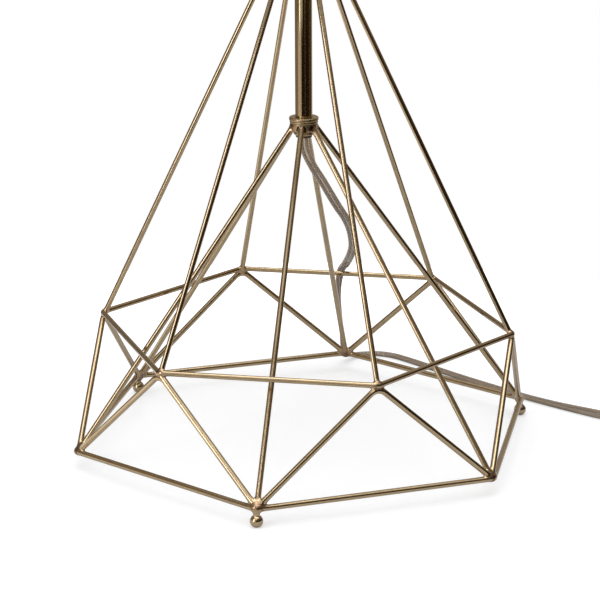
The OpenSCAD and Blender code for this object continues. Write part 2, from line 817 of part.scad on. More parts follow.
function ease(t) = let (s = max(0, min(1, t))) s * s * (3 - 2 * s);
function coil_angle(u) = coil_start + 360 * u;
function coil_radius(u) = coil_r - coil_step * min(u, coil_turns - u);
function coil_height(u) = coil_low + coil_layer * ease((u - coil_turns / 2 + 0.25) / 0.5);
function coil_point(u) = coil_at + polar(coil_radius(u), coil_angle(u), coil_height(u));
function coil_heading(u) = polar(1, coil_angle(u) + 90, 0);
coil_in = coil_point(0) - coil_heading(0) * cord_w;
coil_out = coil_point(coil_turns) + coil_heading(coil_turns) * cord_w;
coil_path = concat([coil_in],
                   [for (k = [0:LOOP_RINGS * coil_turns]) coil_point(k / LOOP_RINGS)],
                   [coil_out]);

// Least distance between points of rings that lie beside or over each other
function ring_gap(a, b) = min([for (p = a) for (q = b) norm(p - q)]);
function coil_gap(rings) =
    min([for (i = [0:len(rings) - 1]) for (turn = [1:coil_turns]) for (near = [-1:1])
        let (j = i + turn * LOOP_RINGS + near) if (j < len(rings)) ring_gap(rings[i], rings[j])]);

module cord_coil() {
    rings = cord_rings(coil_path, [for (p = coil_path) UP], coil_heading(0), coil_heading(coil_turns), 6);
    echo(least_gap_in_the_coil = coil_gap(rings));
    color(CLEAR) tube(rings);
}

// Free stretch: out of the bushing, over the waist ring, down to the table and along behind the cage
FALL = [0, 0, -1];
run_points = [
    [0, 0, exit_z], [0.4, -0.1, 232], [2, -0.3, 225.5], [7, 0, 215.6], [16, 2.8, 202],
    [23.5, 7.2, 190.5], [32, 13.8, 178.5], [41, 22.5, 167], [50, 36, 154], [58, 51.5, 141],
    [63.8, 66, 130.5], [68.6, 79.5, 121], [72.4, 93, 112.4], [74.8, 106, 105], [75.6, 117.5, 99.6],
    [75.3, 127, 92.3], [75.5, 133.5, 81], [77, 138.2, 68], [79.6, 142.8, 55], [82.8, 148.3, 41.5],
    [86.3, 155.4, 28.5], [90.8, 164, 16.4], [96.2, 171.8, 8], [104.6, 178.2, 3.4], [115, 181, 1.9],
    [125.6, 178.8, 1.8], [134.2, 172, 1.8], [140.8, 162, 1.8], [151, 139, 1.8], [171.5, 90.5, 1.8],
    [195.5, 39, 1.9], [211.5, 9, 2.2], [225.5, -16, 3], [236.5, -35.5, 3.8]
];
// Way in which the cord's width lies at each of those points
run_wides = [
    [1, -0.3, 0], [1, -0.3, 0], [1, -0.3, 0], [1, -0.3, 0.3], [1, -0.3, 0.5],
    [1, -0.3, 0.5], [1, -0.4, 0.4], [1, -0.6, 0.2], [1, -0.8, 0], [1, -0.8, 0],
    [1, -0.6, 0], [1, -0.4, 0], [1, -0.2, 0], [1, 0, 0], [1, 0.1, 0],
    [1, 0.3, 0.1], [0.9, 0.8, 0.3], [0.6, 1, 0.5], [0.4, 1, 0.5], [0.3, 1, 0.5],
    [0.1, 1, 0.5], [-0.3, 1, 0.3], [-0.6, 1, 0], [-0.4, 1, 0], [0, 1, 0],
    [0.4, 1, 0], [0.8, 0.9, 0], [0.9, 0.5, 0], [0.9, 0.45, 0], [0.9, 0.45, 0],
    [0.9, 0.5, 0.05], [0.9, 0.5, 0.2], [0.7, 0.4, 0.6], [0.2, 0.1, 1]
];

// Tail: off the top of the coil, down to the table and up into the plug
plug_z = table_gap + plug_t / 2;
tail_way = coil_heading(coil_turns);
function tail_point(s, z) = let (p = coil_point(coil_turns) + tail_way * s) [p[0], p[1], z];
plug_from = 70;
tail_points = [coil_out, tail_point(15, 11), tail_point(25, 8.6), tail_point(36, 6),
               tail_point(48, 5.4), tail_point(60, 7.2), tail_point(plug_from, plug_z)];
tail_flat = cross(tail_way, UP);
tail_wides = [UP, UP, UP + 0.3 * tail_flat, UP + tail_flat, 0.6 * UP + tail_flat,
              0.1 * UP + tail_flat, tail_flat];

module cord_run() {
    path = curve(concat(run_points, [coil_in]), 2);
    wides = curve(concat(run_wides, [UP]), 2);
    color(CLEAR) tube(cord_rings(path, wides, FALL, coil_heading(0), 8));
}

module cord_tail() {
    color(CLEAR) tube(cord_rings(curve(tail_points, 2), curve(tail_wides, 2), tail_way, tail_way, 8));
}

// Band round the coil's bundle
module coil_tie() {
    inner = coil_r - coil_step * coil_turns / 2 - cord_t / 2 - 2 * seat_gap;
    outer = coil_r + cord_t / 2 + 2 * seat_gap;
    top = coil_low + coil_layer + cord_w / 2 + seat_gap;
    color("#3a3733") translate(coil_at) rotate(coil_start + 150)
        translate([0, tie_w / 2, 0]) rotate([90, 0, 0]) linear_extrude(tie_w) difference() {
            translate([inner - tie_t, table_gap])
                square([outer - inner + 2 * tie_t, top + tie_t - table_gap]);
            translate([inner, table_gap + tie_t]) square([outer - inner, top - table_gap - tie_t]);
        }
}

// Puts children on the plug's axis, X along it from the cord's end, Z up
module on_plug() {
    place(tail_point(plug_from, plug_z), tail_way, cross(UP, tail_way)) children();
}

module plug_body() {
    neck = 5;
    taper = 14;
    r = 5;
    color("#8a7f72") on_plug() intersection() {
        linear_extrude(plug_t, center = true) polygon([
            [0, -neck], [taper, -plug_w / 2], [plug_l, -plug_w / 2],
            [plug_l, plug_w / 2], [taper, plug_w / 2], [0, neck]
        ]);
        rotate([90, 0, 0]) linear_extrude(plug_w, center = true) polygon([
            [0, -neck + 1], [taper, -plug_t / 2], [plug_l, -plug_t / 2],
            [plug_l, plug_t / 2], [taper, plug_t / 2], [0, neck - 1]
        ]);
        rotate([0, 90, 0]) linear_extrude(plug_l) {
            square([plug_t, plug_w - 2 * r], center = true);
            square([plug_t - 2 * r, plug_w], center = true);
            for (a = [-1, 1]) for (b = [-1, 1])
                translate([a * (plug_t / 2 - r), b * (plug_w / 2 - r)]) circle(r = r);
        }
    }
}

// Two flat blades, the neutral one wider
module plug_blades() {
    blade_t = 1.5;
    hole_d = 3.2;
    hole_in = 4.5;
    color(STEEL) on_plug() for (side = [-1, 1]) {
        width = side < 0 ? 7.9 : 6.35;
        translate([plug_l, side * blade_gap / 2 - blade_t / 2, -width / 2]) difference() {
            cube([blade_l, blade_t, width]);
            translate([blade_l - hole_in, -1, width / 2]) rotate([-90, 0, 0])
                cylinder(d = hole_d, h = blade_t + 2);
        }
    }
}

bottom_ring();
mid_ring();
for (k = [1:FEET]) foot(k);
for (k = [1:SIDES]) chevron(k);
for (k = [1:SIDES]) brace(k);
for (k = [1:SIDES]) cage_strut(k);
hub_ring();
crown_collar();
stem_tube();
threaded_pipe();
stem_washer();
spacer_ring();
hub_nut();
cord_bushing();
seat_washer();
harp_saddle();
harp_loop();
harp_stud();
harp_sleeve(1);  // harp_sleeve_1
harp_sleeve(-1);  // harp_sleeve_2
socket_cap();
socket_shell();
socket_liner();
socket_body();
screw_shell();
centre_contact();
terminal_screws();
switch_shaft();
switch_knob();
bulb_cap();
bulb_glass();
bulb_contact();
shade_shell();
shade_top_frame();
shade_bottom_ring();
finial();
stem_lead();
cord_run();
cord_coil();
cord_tail();
coil_tie();
plug_body();
plug_blades();
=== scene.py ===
"""Dresses a table lamp: a brazed cage of plated iron wire, turned fittings, a flat clear cord, a
turn-knob socket, a harp and a linen drum shade. Laid out as an add-on and run as a script.
All lengths are in metres, in the frame of the construction model."""

import math

import bpy
import numpy as np
from bpy.props import FloatProperty, FloatVectorProperty, PointerProperty
from mathutils import Matrix, Vector, noise


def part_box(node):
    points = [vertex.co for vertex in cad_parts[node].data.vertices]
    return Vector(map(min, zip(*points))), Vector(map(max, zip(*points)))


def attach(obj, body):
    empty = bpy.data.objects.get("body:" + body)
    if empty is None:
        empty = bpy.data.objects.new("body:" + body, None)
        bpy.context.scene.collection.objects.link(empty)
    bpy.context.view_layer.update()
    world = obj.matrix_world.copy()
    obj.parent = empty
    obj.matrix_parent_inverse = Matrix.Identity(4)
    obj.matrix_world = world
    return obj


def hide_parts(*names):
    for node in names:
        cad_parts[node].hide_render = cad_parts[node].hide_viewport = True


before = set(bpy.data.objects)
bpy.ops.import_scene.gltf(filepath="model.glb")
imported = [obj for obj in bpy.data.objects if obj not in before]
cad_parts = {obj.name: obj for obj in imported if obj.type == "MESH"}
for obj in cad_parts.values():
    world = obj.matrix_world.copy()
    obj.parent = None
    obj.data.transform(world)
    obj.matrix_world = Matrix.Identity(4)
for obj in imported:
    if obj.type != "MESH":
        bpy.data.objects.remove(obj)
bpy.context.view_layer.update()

bl_info = {
    "name": "Wire cage table lamp",
    "version": (1, 0, 0),
    "blender": (4, 5, 0),
    "location": "3D View > Sidebar > Lamp",
    "description": "Dresses a table lamp on a cage of brazed wire, with its cord, harp and shade",
    "category": "Add Mesh",
}

MM = 0.001
SIDES = 6                # of the cage
DRAWN = 60               # how many times as long as wide the marks on drawn metal are
TINY = 1e-9
REARWARD = np.array([0.0, 1.0, 0.0])
UP = np.array([0.0, 0.0, 1.0])


def span(node):
    """Lowest and highest corner of a node of the construction model."""
    low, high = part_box(node)
    return np.array(low), np.array(high)


def across(node, axis):
    low, high = span(node)
    return float(high[axis] - low[axis])


def middle(node, axis=2):
    low, high = span(node)
    return float(high[axis] + low[axis]) / 2


def bottom(node):
    return float(span(node)[0][2])


def top(node):
    return float(span(node)[1][2])


def round_size(node):
    """Lower end, upper end and radius of a node that is turned about an upright axis."""
    return bottom(node), top(node), across(node, 0) / 2


def linear(hexa):
    """Linear colour of an sRGB hex value."""
    parts = [int(hexa[i:i + 2], 16) / 255 for i in (1, 3, 5)]
    return tuple(c / 12.92 if c <= 0.04045 else ((c + 0.055) / 1.055) ** 2.4 for c in parts)


def length(name, what, value):
    return FloatProperty(name=name, description=what, default=value, unit="LENGTH", precision=4)


def colour(name, what, hexa):
    return FloatVectorProperty(name=name, description=what, default=linear(hexa), subtype="COLOR",
                               size=3, min=0.0, max=1.0)


class LampSizes(bpy.types.PropertyGroup):
    """Sizes of the lamp that its looks depend on"""

    base_r: length("Bottom corner", "Stem's axis to the bottom ring's sharp corners", 180 * MM)
    waist_r: length("Waist corner", "Stem's axis to the waist ring's sharp corners", 158 * MM)
    base_wire: length("Bottom wire", "Wire of the bottom ring and the chevrons", across("bottom_ring", 2))
    cage_wire: length("Cage wire", "Wire of the waist ring and the struts", across("mid_ring", 2))
    brace_wire: length("Brace wire", "Wire of the inner braces", 4.2 * MM)
    ring_bend: length("Ring bend", "Bend radius of the rings at the wire's centre", 5 * MM)
    chevron_bend: length("Chevron bend", "Bend radius of the chevrons at the wire's centre", 8 * MM)
    landing_in: length("Landing", "How far inside a ring's corner the rods aim", 2 * MM)
    weld_depth: length("Weld depth", "How deep a chevron's bend is melted into the waist ring", 0.3 * MM)
    fillet: length("Fillet", "Softness of the brazed fillets", 0.78 * MM)
    round_edge: length("Edge", "Rounding of turned edges", 0.35 * MM)
    cord_w: length("Cord width", "Width of the flat two-core cord", 6.8 * MM)
    cord_t: length("Cord thickness", "Thickness of the flat two-core cord", 3.3 * MM)
    core_d: length("Cord core", "Diameter of the stranded copper in each half of the cord", 1.5 * MM)
    hem: length("Shade binding", "Height of the linen binding on the shade's edges", 9 * MM)


class LampColours(bpy.types.PropertyGroup):
    """Colours of the lamp's finishes"""

    plate: colour("Antique brass", "Lacquered antique brass plate on the iron", "#C3AA82")
    heat: colour("Heat tint", "Coppery tint of the plate round the brazed corners", "#B08A62")
    burn: colour("Burnt flux", "Brown film in the brazed corners", "#4A2A17")
    stem: colour("Stem plate", "Polished antique brass plate on the stem", "#BFAA7E")
    brass: colour("Yellow brass", "Drawn sheet brass of the socket", "#D9BC7C")
    vinyl: colour("Cord vinyl", "Clear brown vinyl of the cord and plug", "#D0C4B2")
    copper: colour("Copper strands", "Stranded copper seen through the vinyl", "#BC9D84")
    linen: colour("Linen", "Off-white linen of the shade", "#EDE7DA")
    bakelite: colour("Black phenolic", "Knob and moulded body of the socket", "#1C1917")


class LampView(bpy.types.PropertyGroup):
    """Camera that the picture is taken with"""

    azimuth: FloatProperty(name="Azimuth", description="Turn of the camera about the lamp",
                           default=math.radians(-18.97), subtype="ANGLE")
    elevation: FloatProperty(name="Elevation", description="Height of the camera above the horizon",
                             default=math.radians(16.54), subtype="ANGLE")
    roll: FloatProperty(name="Roll", description="Tilt of the camera about its own axis",
                        default=math.radians(-0.24), subtype="ANGLE")
    distance: length("Distance", "Camera to the point that it looks at", 1.8879)
    target: length("Target height", "Height of the point that the camera looks at", 0.1199)
    lens: FloatProperty(name="Lens", description="Focal length on a 36 mm wide picture",
                        default=150.29, unit="CAMERA")
    shift_x: FloatProperty(name="Shift X", description="Sideways shift of the picture", default=-0.0076)
    shift_y: FloatProperty(name="Shift Y", description="Upward shift of the picture", default=-0.0154)


# Meshes


def unit(v):
    return v / np.linalg.norm(v)


def polar(r, angle, z):
    return np.array([r * math.cos(angle), r * math.sin(angle), z])


def whole_turn(count):
    """Angles round a whole turn, evenly apart."""
    return np.arange(count) * 2 * math.pi / count


def circle(r, angles, z):
    """Points at some angles of an upright circle; r may be different at each."""
    return np.stack([r * np.cos(angles), r * np.sin(angles), np.full(len(angles), z)], 1)


def skin(rings, loop=False):
    """Points and faces over rings of points, where the first or last ring may be a single point."""
    points, starts, faces = [], [], []
    for ring in rings:
        starts.append(len(points))
        points.extend(np.atleast_2d(ring))
    pairs = [(i, i + 1) for i in range(len(rings) - 1)] + ([(len(rings) - 1, 0)] if loop else [])
    for i, j in pairs:
        a, b = starts[i], starts[j]
        m, n = len(np.atleast_2d(rings[i])), len(np.atleast_2d(rings[j]))
        for k in range(max(m, n)):
            after = (k + 1) % max(m, n)
            if m == 1:
                faces.append((a, b + after, b + k))
            elif n == 1:
                faces.append((a + k, a + after, b))
            else:
                faces.append((a + k, a + after, b + after, b + k))
    return np.array(points), faces


def record_melt(mesh, melt):
    """Keeps how far each point is melted with the mesh, for its finish."""
    mesh.attributes.new("melt", "FLOAT", "POINT").data.foreach_set("value", np.asarray(melt, float))


def solid(name, points, faces, grain=None, melt=None, sharp=40):
    """Smooth mesh with its grain coordinates and how far each point is melted."""
    mesh = bpy.data.meshes.new(name)
    mesh.from_pydata([tuple(map(float, p)) for p in points], [], faces)
    mesh.shade_smooth()
    mesh.set_sharp_from_angle(angle=math.radians(sharp))
    if grain is not None:
        layer = mesh.attributes.new("grain", "FLOAT_VECTOR", "POINT")
        layer.data.foreach_set("vector", np.asarray(grain, float).ravel())
    if melt is not None:
        record_melt(mesh, melt)
    piece = bpy.data.objects.new(name, mesh)
    bpy.context.scene.collection.objects.link(piece)
    return piece


def dress(piece, finish, slot, *nodes, body="root"):
    """Gives a piece its finish and makes it stand for its nodes."""
    for made in finish if isinstance(finish, list) else [finish]:
        piece.data.materials.append(made)
    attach(piece, body)
    if nodes:
        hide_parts(*nodes)
    return piece


def repaint(node, finish):
    """Gives a node of the construction model that stays its finish."""
    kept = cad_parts[node]
    kept.data.materials.clear()
    kept.data.materials.append(finish)


def softened(outline, loop=True, steps=4):
    """Outline of (x, y) or (x, y, radius) points, with the corners that have a radius rounded."""
    made = []
    count = len(outline)
    for i, corner in enumerate(outline):
        v = np.array(corner[:2], float)
        r = corner[2] if len(corner) > 2 else 0
        if r == 0 or (not loop and i in (0, count - 1)):
            made.append(v)
            continue
        a = np.array(outline[i - 1][:2], float)
        b = np.array(outline[(i + 1) % count][:2], float)
        r = min(r, 0.45 * np.linalg.norm(a - v), 0.45 * np.linalg.norm(b - v))
        start, end = v + unit(a - v) * r, v + unit(b - v) * r
        for k in range(steps + 1):
            t = k / steps
            made.append((1 - t) ** 2 * start + 2 * t * (1 - t) * v + t ** 2 * end)
    return made


def ball_arc(r, z, start, steps, end=math.pi / 2):
    """Outline of a ball round (0, z), from one height angle to another, which is its top unless given."""
    return [(r * math.cos(t), z + r * math.sin(t)) for t in np.linspace(start, end, steps + 1)]


def ladder(r, low, high, step):
    """Points up a straight side, close enough together to carry a thread."""
    count = max(2, math.ceil(abs(high - low) / step))
    return [(r, low + (high - low) * k / count) for k in range(count + 1)]


def turned(name, outline, sides=64, shape=None, loop=True, at=None, drawn=False):
    """Outline of (r, z) points turned about Z; shape may change the radius by height and angle.
    The grain runs round the piece, or along it where it is drawn."""
    angles = whole_turn(sides)
    rings, grain = [], []
    for r, z in outline:
        if r < TINY:
            rings.append(np.array([[0.0, 0.0, z]]))
            grain.append([[0.0, z, 0.0]])
            continue
        radius = np.full(sides, r) if shape is None else np.array([shape(r, z, a) for a in angles])
        rings.append(circle(radius, angles, z))
        round_it = np.stack([np.full(sides, r), np.full(sides, z), MM * np.cos(angles)], 1)
        grain.append(circle(r, angles, z / DRAWN) if drawn else round_it)
    points, faces = skin(rings, loop)
    if at is not None:
        points = points @ np.array(at.to_3x3()).T + np.array(at.translation)
    return solid(name, points, faces, np.concatenate(grain))


def washer_outline(low, high, inner, outer, edge):
    return softened([(inner, low, edge), (outer, low, edge), (outer, high, edge), (inner, high, edge)])


def threaded(r, z, a, pitch, depth):
    """Radius at height z and angle a where a right-handed thread is cut or rolled."""
    return r - depth * (0.5 + 0.5 * math.cos(2 * math.pi * z / pitch - a))


def bend(a, v, b, r, step=math.radians(4)):
    """Points of a bend of radius r at v, on the way from a to b."""
    into, out = unit(v - a), unit(b - v)
    turn = math.acos(float(np.clip(into @ out, -1, 1)))
    centre = v + unit(out - into) * r / math.cos(turn / 2)
    x = unit(v - into * r * math.tan(turn / 2) - centre)
    count = math.ceil(turn / step)
    angles = [turn * k / count for k in range(count + 1)]
    return [centre + r * (x * math.cos(t) + into * math.sin(t)) for t in angles]


def bent(points, bends, loop=False):
    """Centre line of a wire through points, bent at each inner one, or at all of a closed one."""
    count = len(points)
    if loop:
        corners = [(points[i - 1], points[i], points[(i + 1) % count]) for i in range(count)]
        return np.array([p for c, r in zip(corners, bends) for p in bend(*c, r)])
    corners = [points[i - 1:i + 2] for i in range(1, count - 1)]
    inner = [p for c, r in zip(corners, bends) for p in bend(*c, r)]
    return np.array([points[0], *inner, points[-1]])


class Rod:
    """Round wire along a centre line, whose stations are finer near its joints"""

    FINE = 0.6 * MM                 # between two stations near a joint
    COARSE = 20                     # so many times that elsewhere
    REACH = 13 * MM                 # how far a joint's fine stations go
    NEARBY = 60 * MM                # how near to some points a stretch of wire is measured to them
    SIDES = 28
    DOME = 6                        # steps from the wire's end to the tip of its dome
    ASKEW = polar(1, 0.3, 0.2)      # a way in which no wire runs

    def __init__(self, line, d, level=None, loop=False):
        self.loop = loop
        self.line = np.vstack([line, line[:1]]) if loop else np.array(line)
        self.r = d / 2
        straight = self.line[1] - self.line[0]
        self.level = unit(np.cross(straight, self.ASKEW) if level is None else level)

    def gap(self, points):
        """Distance of points from the wire's skin, less than 0 inside."""
        a, b = self.line[:-1], self.line[1:]
        near = np.linalg.norm(points.mean(0) - a, axis=1) < self.NEARBY
        near |= np.linalg.norm(points.mean(0) - b, axis=1) < self.NEARBY
        a, b = (a[near], b[near]) if near.any() else (a, b)
        along = b - a
        t = ((points[:, None] - a) * along).sum(-1) / np.maximum((along * along).sum(-1), TINY ** 2)
        nearest = a + np.clip(t, 0, 1)[..., None] * along
        return np.linalg.norm(points[:, None] - nearest, axis=-1).min(1) - self.r

    def stations(self, joints):
        """Points and headings along the wire, close together near its joints."""
        steps = np.linalg.norm(np.diff(self.line, axis=0), axis=1)
        at = np.concatenate([[0], np.cumsum(steps)])
        count = math.ceil(at[-1] / self.FINE)
        fine = np.linspace(0, at[-1], count + 1)

        def point(s):
            s = s % at[-1] if self.loop else np.clip(s, 0, at[-1])
            return np.stack([np.interp(s, at, self.line[:, k]) for k in range(3)], 1)

        spots = point(fine)
        keep = np.arange(count + 1) % self.COARSE == 0
        keep[-1] = True
        for joint in joints:
            keep |= np.linalg.norm(spots - joint, axis=1) < self.REACH
        if self.loop:
            keep[-1] = False
        headings = point(fine + self.FINE / 2) - point(fine - self.FINE / 2)
        headings /= np.linalg.norm(headings, axis=1)[:, None]
        return spots[keep], headings[keep], fine[keep]

    def rings(self, joints):
        """Rings of points round the wire, their outward directions and their grain."""
        angles = whole_turn(self.SIDES)
        spots, headings, at = self.stations(joints)
        rows = [(p, h, s, 1.0, 0.0) for p, h, s in zip(spots, headings, at)]
        if not self.loop:
            dome = [k * math.pi / (2 * self.DOME) for k in range(1, self.DOME)]
            first, last = rows[0], rows[-1]
            foot = [(*first[:3], math.cos(t), -math.sin(t)) for t in reversed(dome)]
            head = [(*last[:3], math.cos(t), math.sin(t)) for t in dome]
            rows = foot + rows + head
        rings, outward, grain = [], [], []
        for p, h, s, wide, on in rows:
            side = np.cross(h, self.level)
            level = np.cross(side, h)
            round_it = np.outer(np.cos(angles), level) + np.outer(np.sin(angles), side)
            out = round_it * wide + h * on
            rings.append(p + self.r * out)
            outward.append(out)
            grain.append(circle(self.r, angles, s / DRAWN))
        if not self.loop:
            # The far tip comes before the last and narrowest ring, whose open rim a joint or a sleeve hides
            for (p, h, s, *_), where in ((rows[0], 0), (rows[-1], len(rings))):
                tip = h if where else -h
                rings.insert(where, (p + self.r * tip)[None])
                outward.insert(where, tip[None])
                grain.insert(where, np.array([[0, 0, s / DRAWN]]))
        return rings, np.concatenate(outward), np.concatenate(grain)


def drum_gap(node):
    """Distance from the skin of an upright drum that has a node's size."""
    r, z, half = across(node, 0) / 2, middle(node), across(node, 2) / 2

    def gap(points):
        q = np.stack([np.hypot(points[:, 0], points[:, 1]) - r, np.abs(points[:, 2] - z) - half], 1)
        return np.minimum(q.max(1), 0) + np.linalg.norm(np.maximum(q, 0), axis=1)
    return gap


def brazed(points, outward, mine, others, soft):
    """Points pushed out so that the pieces of a joint run together, and how melted each one is."""
    rounds, share, most, reach = 10, 0.8, 3.4 * soft, 2.2 * soft
    bump_height, bump_width = 0.09 * MM, 1.7 * MM
    lift = np.zeros(len(points))
    for _ in range(rounds):
        at = points + outward * lift[:, None]
        gaps = np.stack([g(at) for g in [mine, *others]])
        field = -soft * np.log(np.exp(-gaps / soft).sum(0))
        lift = np.clip(lift - share * field, 0, most)
    near = np.stack([g(points) for g in others]).min(0)
    melt = np.exp(-np.clip(near, 0, None) / reach)
    bumps = np.array([noise.noise(Vector(p) / bump_width) for p in points])
    return points + outward * (lift + bump_height * bumps * melt)[:, None], melt


def burn_with_rear_shade(spot):
    """How brown a joint's burnt film and heat tint are: the real burn, made browner for the far joints than
    the near ones as painted shade toward the back.
    """
    least, start, reach = 0.5, -50 * MM, 150 * MM
    return least + (1 - least) * min(1, max(0, (spot[1] - start) / reach))


def brazed_rod(name, rod, joints, finish, nodes):
    """Wire with a fillet at each joint, given as (corner, other skins, softness). The corner itself is
    melted and browned, and a lighter heat tint fades from it along the wire."""
    tint, fade = 0.7, 14 * MM
    rings, outward, grain = rod.rings([corner for corner, _, _ in joints])
    points, faces = skin(rings, rod.loop)
    melt = np.zeros(len(points))
    for corner, others, soft in joints:
        away = np.linalg.norm(points - corner, axis=1)
        near = away < rod.REACH
        # Burnt film and heat tint of this corner, browner toward the back as painted shade
        brown = burn_with_rear_shade(corner)
        if near.any():
            points[near], melted = brazed(points[near], outward[near], rod.gap, others, soft)
            melt[near] = np.maximum(brown * melted, melted ** 3)
        melt = np.maximum(melt, tint * brown * np.exp(-away / fade))
    return dress(solid(name, points, faces, grain, melt), finish, "plated_iron", *nodes)


# Finishes


def add(tree, kind, inputs=None, **settings):
    """Adds a node with its settings, its values and its links."""
    made = tree.nodes.new("ShaderNode" + kind)
    for name, value in settings.items():
        setattr(made, name, value)
    for name, value in (inputs or {}).items():
        if isinstance(value, bpy.types.NodeSocket):
            tree.links.new(value, made.inputs[name])
        else:
            made.inputs[name].default_value = value
    return made


def maths(tree, operation, *values, **settings):
    return add(tree, "Math", dict(enumerate(values)), operation=operation, **settings).outputs[0]


def grains(tree, where, size, detail, **values):
    """Noise whose grains are so many metres wide."""
    inputs = {"Vector": where, "Scale": 1 / size, "Detail": detail, **values}
    return add(tree, "TexNoise", inputs).outputs["Fac"]


def ranged(tree, value, start, end, low=0.0, high=1.0):
    """Value from start to end, stretched to go from low to high."""
    return add(tree, "MapRange", {"Value": value, "From Min": start, "From Max": end,
                                  "To Min": low, "To Max": high}).outputs["Result"]


def opaque(c):
    return (*c, 1.0)


def mixed(tree, share, first, second):
    """Mix of two colours, or of a socket and a colour."""
    first = first if isinstance(first, bpy.types.NodeSocket) else opaque(first)
    return add(tree, "MixRGB", {"Fac": share, "Color1": first, "Color2": opaque(second)}).outputs["Color"]


def dimmed(base, share):
    return tuple(c * share for c in base)


def blank(name, **values):
    """New material and its shader, with the values that are the same all over."""
    made = bpy.data.materials.new(name)
    made.use_nodes = True
    tree = made.node_tree
    shader = tree.nodes["Principled BSDF"]
    for key, value in values.items():
        shader.inputs[key.replace("_", " ")].default_value = value
    return made, tree, shader


def finished(made, tree, shader, height=None, strength=0.0, depth=0.0, **outputs):
    """Links what varies to a material's shader, with a bump of a strength and depth if it has a height."""
    if height is not None:
        bump = add(tree, "Bump", {"Height": height, "Strength": strength, "Distance": depth})
        outputs["Normal"] = bump.outputs["Normal"]
    for key, output in outputs.items():
        tree.links.new(output, shader.inputs[key.replace("_", " ")])
    return made


def plain_of(tree):
    return add(tree, "TexCoord").outputs["Object"]


def grain_of(tree, own=True):
    """Coordinates in metres: along the piece's own grain, or plain ones for a piece that has none."""
    return add(tree, "Attribute", attribute_name="grain").outputs["Vector"] if own else plain_of(tree)


def worn_metal(name, base, dark, rough, own=True, mark=0.30 * MM, cloud=16 * MM, relief=0.02,
               warmed=None, burnt=None, lacquer=0.0):
    """Metal with drawn or turned marks and clouds of tarnish. Where brazed, it is coppery from the heat,
    with a burnt film in the corner itself."""
    made, tree, shader = blank(name, Metallic=1.0, Coat_Weight=lacquer, Coat_Roughness=0.06)
    plain = plain_of(tree)
    marks = grains(tree, grain_of(tree, own), mark, 2.0)
    clouds = grains(tree, plain, cloud, 5.0, Roughness=0.6)
    tone = mixed(tree, ranged(tree, clouds, 0.35, 0.75, 0.0, 0.55), base, dark)
    dull = ranged(tree, marks, 0.3, 0.7, rough * 0.85, rough * 1.2)
    if burnt is not None:
        melt = add(tree, "Attribute", attribute_name="melt").outputs["Fac"]
        film = maths(tree, "MULTIPLY", maths(tree, "MULTIPLY", melt, clouds), 1.25, use_clamp=True)
        for shade, start, end in ((warmed, 0.12, 0.60), (burnt, 0.35, 0.85)):
            tone = mixed(tree, ranged(tree, film, start, end), tone, shade)
        dull = maths(tree, "MULTIPLY_ADD", film, 0.16, dull)
    return finished(made, tree, shader, marks, relief, 0.02 * MM, Base_Color=tone, Roughness=dull)


def moulded(name, base, rough, pit=0.5 * MM, **values):
    """Moulded plastic or paper: faint pits, and a gloss that varies a little."""
    made, tree, shader = blank(name, **values)
    plain = plain_of(tree)
    pits = grains(tree, plain, pit, 3.0)
    gloss = ranged(tree, grains(tree, plain, 12 * MM, 2.0), 0.0, 1.0, rough * 0.7, rough * 1.3)
    tone = mixed(tree, pits, base, dimmed(base, 0.78))
    return finished(made, tree, shader, pits, 0.12, 0.03 * MM, Base_Color=tone, Roughness=gloss)


def plate(context):
    """Antique brass plate on drawn iron wire: a warm grey gold that mirrors softly, brown at the joints."""
    c = context.scene.lamp_colours
    return worn_metal("antique_brass_plate", c.plate, dimmed(c.plate, 0.62), 0.17,
                      warmed=c.heat, burnt=c.burn, lacquer=1.0)


def hub_plate(context):
    """The same plate on turned parts that were brazed and wire brushed: satin, with soft edges of light."""
    base = context.scene.lamp_colours.plate
    return worn_metal("brushed_antique_brass", base, dimmed(base, 0.62), 0.36, relief=0.03, lacquer=0.3)


def stem_plate(context):
    """The same plate on polished tube, which mirrors in clean upright bands."""
    base = context.scene.lamp_colours.stem
    return worn_metal("polished_antique_brass", base, dimmed(base, 0.7), 0.12, cloud=40 * MM, relief=0.008,
                      lacquer=1.0)


def sheet_brass(context, own=True):
    """Drawn and lacquered yellow brass sheet, with turning marks and fingerprints."""
    base = context.scene.lamp_colours.brass
    return worn_metal("lacquered_sheet_brass", base, dimmed(base, 0.7), 0.24, own)


def zinc():
    """Zinc plated steel: a cool grey with a faint frosty bloom."""
    return worn_metal("zinc_plated_steel", linear("#B9BAB8"), linear("#8E8F90"), 0.34,
                      own=False, mark=0.8 * MM)


def washed_steel(own=True):
    """Brass washed spring wire: pale gold over steel, where the draw marks show through."""
    return worn_metal("brass_washed_steel", linear("#C9B88F"), linear("#97876A"), 0.27, own)


def nickel():
    """Nickel plated brass blades, bright and a little yellow."""
    return worn_metal("nickel_plate", linear("#CFC9BC"), linear("#A59F93"), 0.22,
                      own=False, mark=0.5 * MM)


def rolled_aluminium():
    """Rolled aluminium screw cap of the bulb, satin with fine scratches."""
    return worn_metal("rolled_aluminium", linear("#D3D4D4"), linear("#A9AAAB"), 0.33)


def bakelite(context):
    """Black phenolic, moulded and tumbled: deep gloss with soft edges."""
    return moulded("black_phenolic", context.scene.lamp_colours.bakelite, 0.28, IOR=1.62)


def fish_paper():
    """Vulcanised paper liner of the socket, brown and fibrous."""
    return moulded("fish_paper", linear("#6B5442"), 0.7, 0.9 * MM, IOR=1.50)


def tie_vinyl():
    """Vinyl coat of a wire tie, matt black."""
    return moulded("tie_vinyl", linear("#23211F"), 0.5, IOR=1.53)


def bushing_nylon():
    """Dark brown nylon, moulded, which takes a dull shine."""
    return moulded("brown_nylon", linear("#4A392B"), 0.42, IOR=1.53)


def styrene():
    """White styrene sheet that the linen is glued to, satin, seen inside the shade."""
    return moulded("white_styrene", linear("#F1EFE9"), 0.45, 3 * MM, IOR=1.59, Subsurface_Weight=0.1)


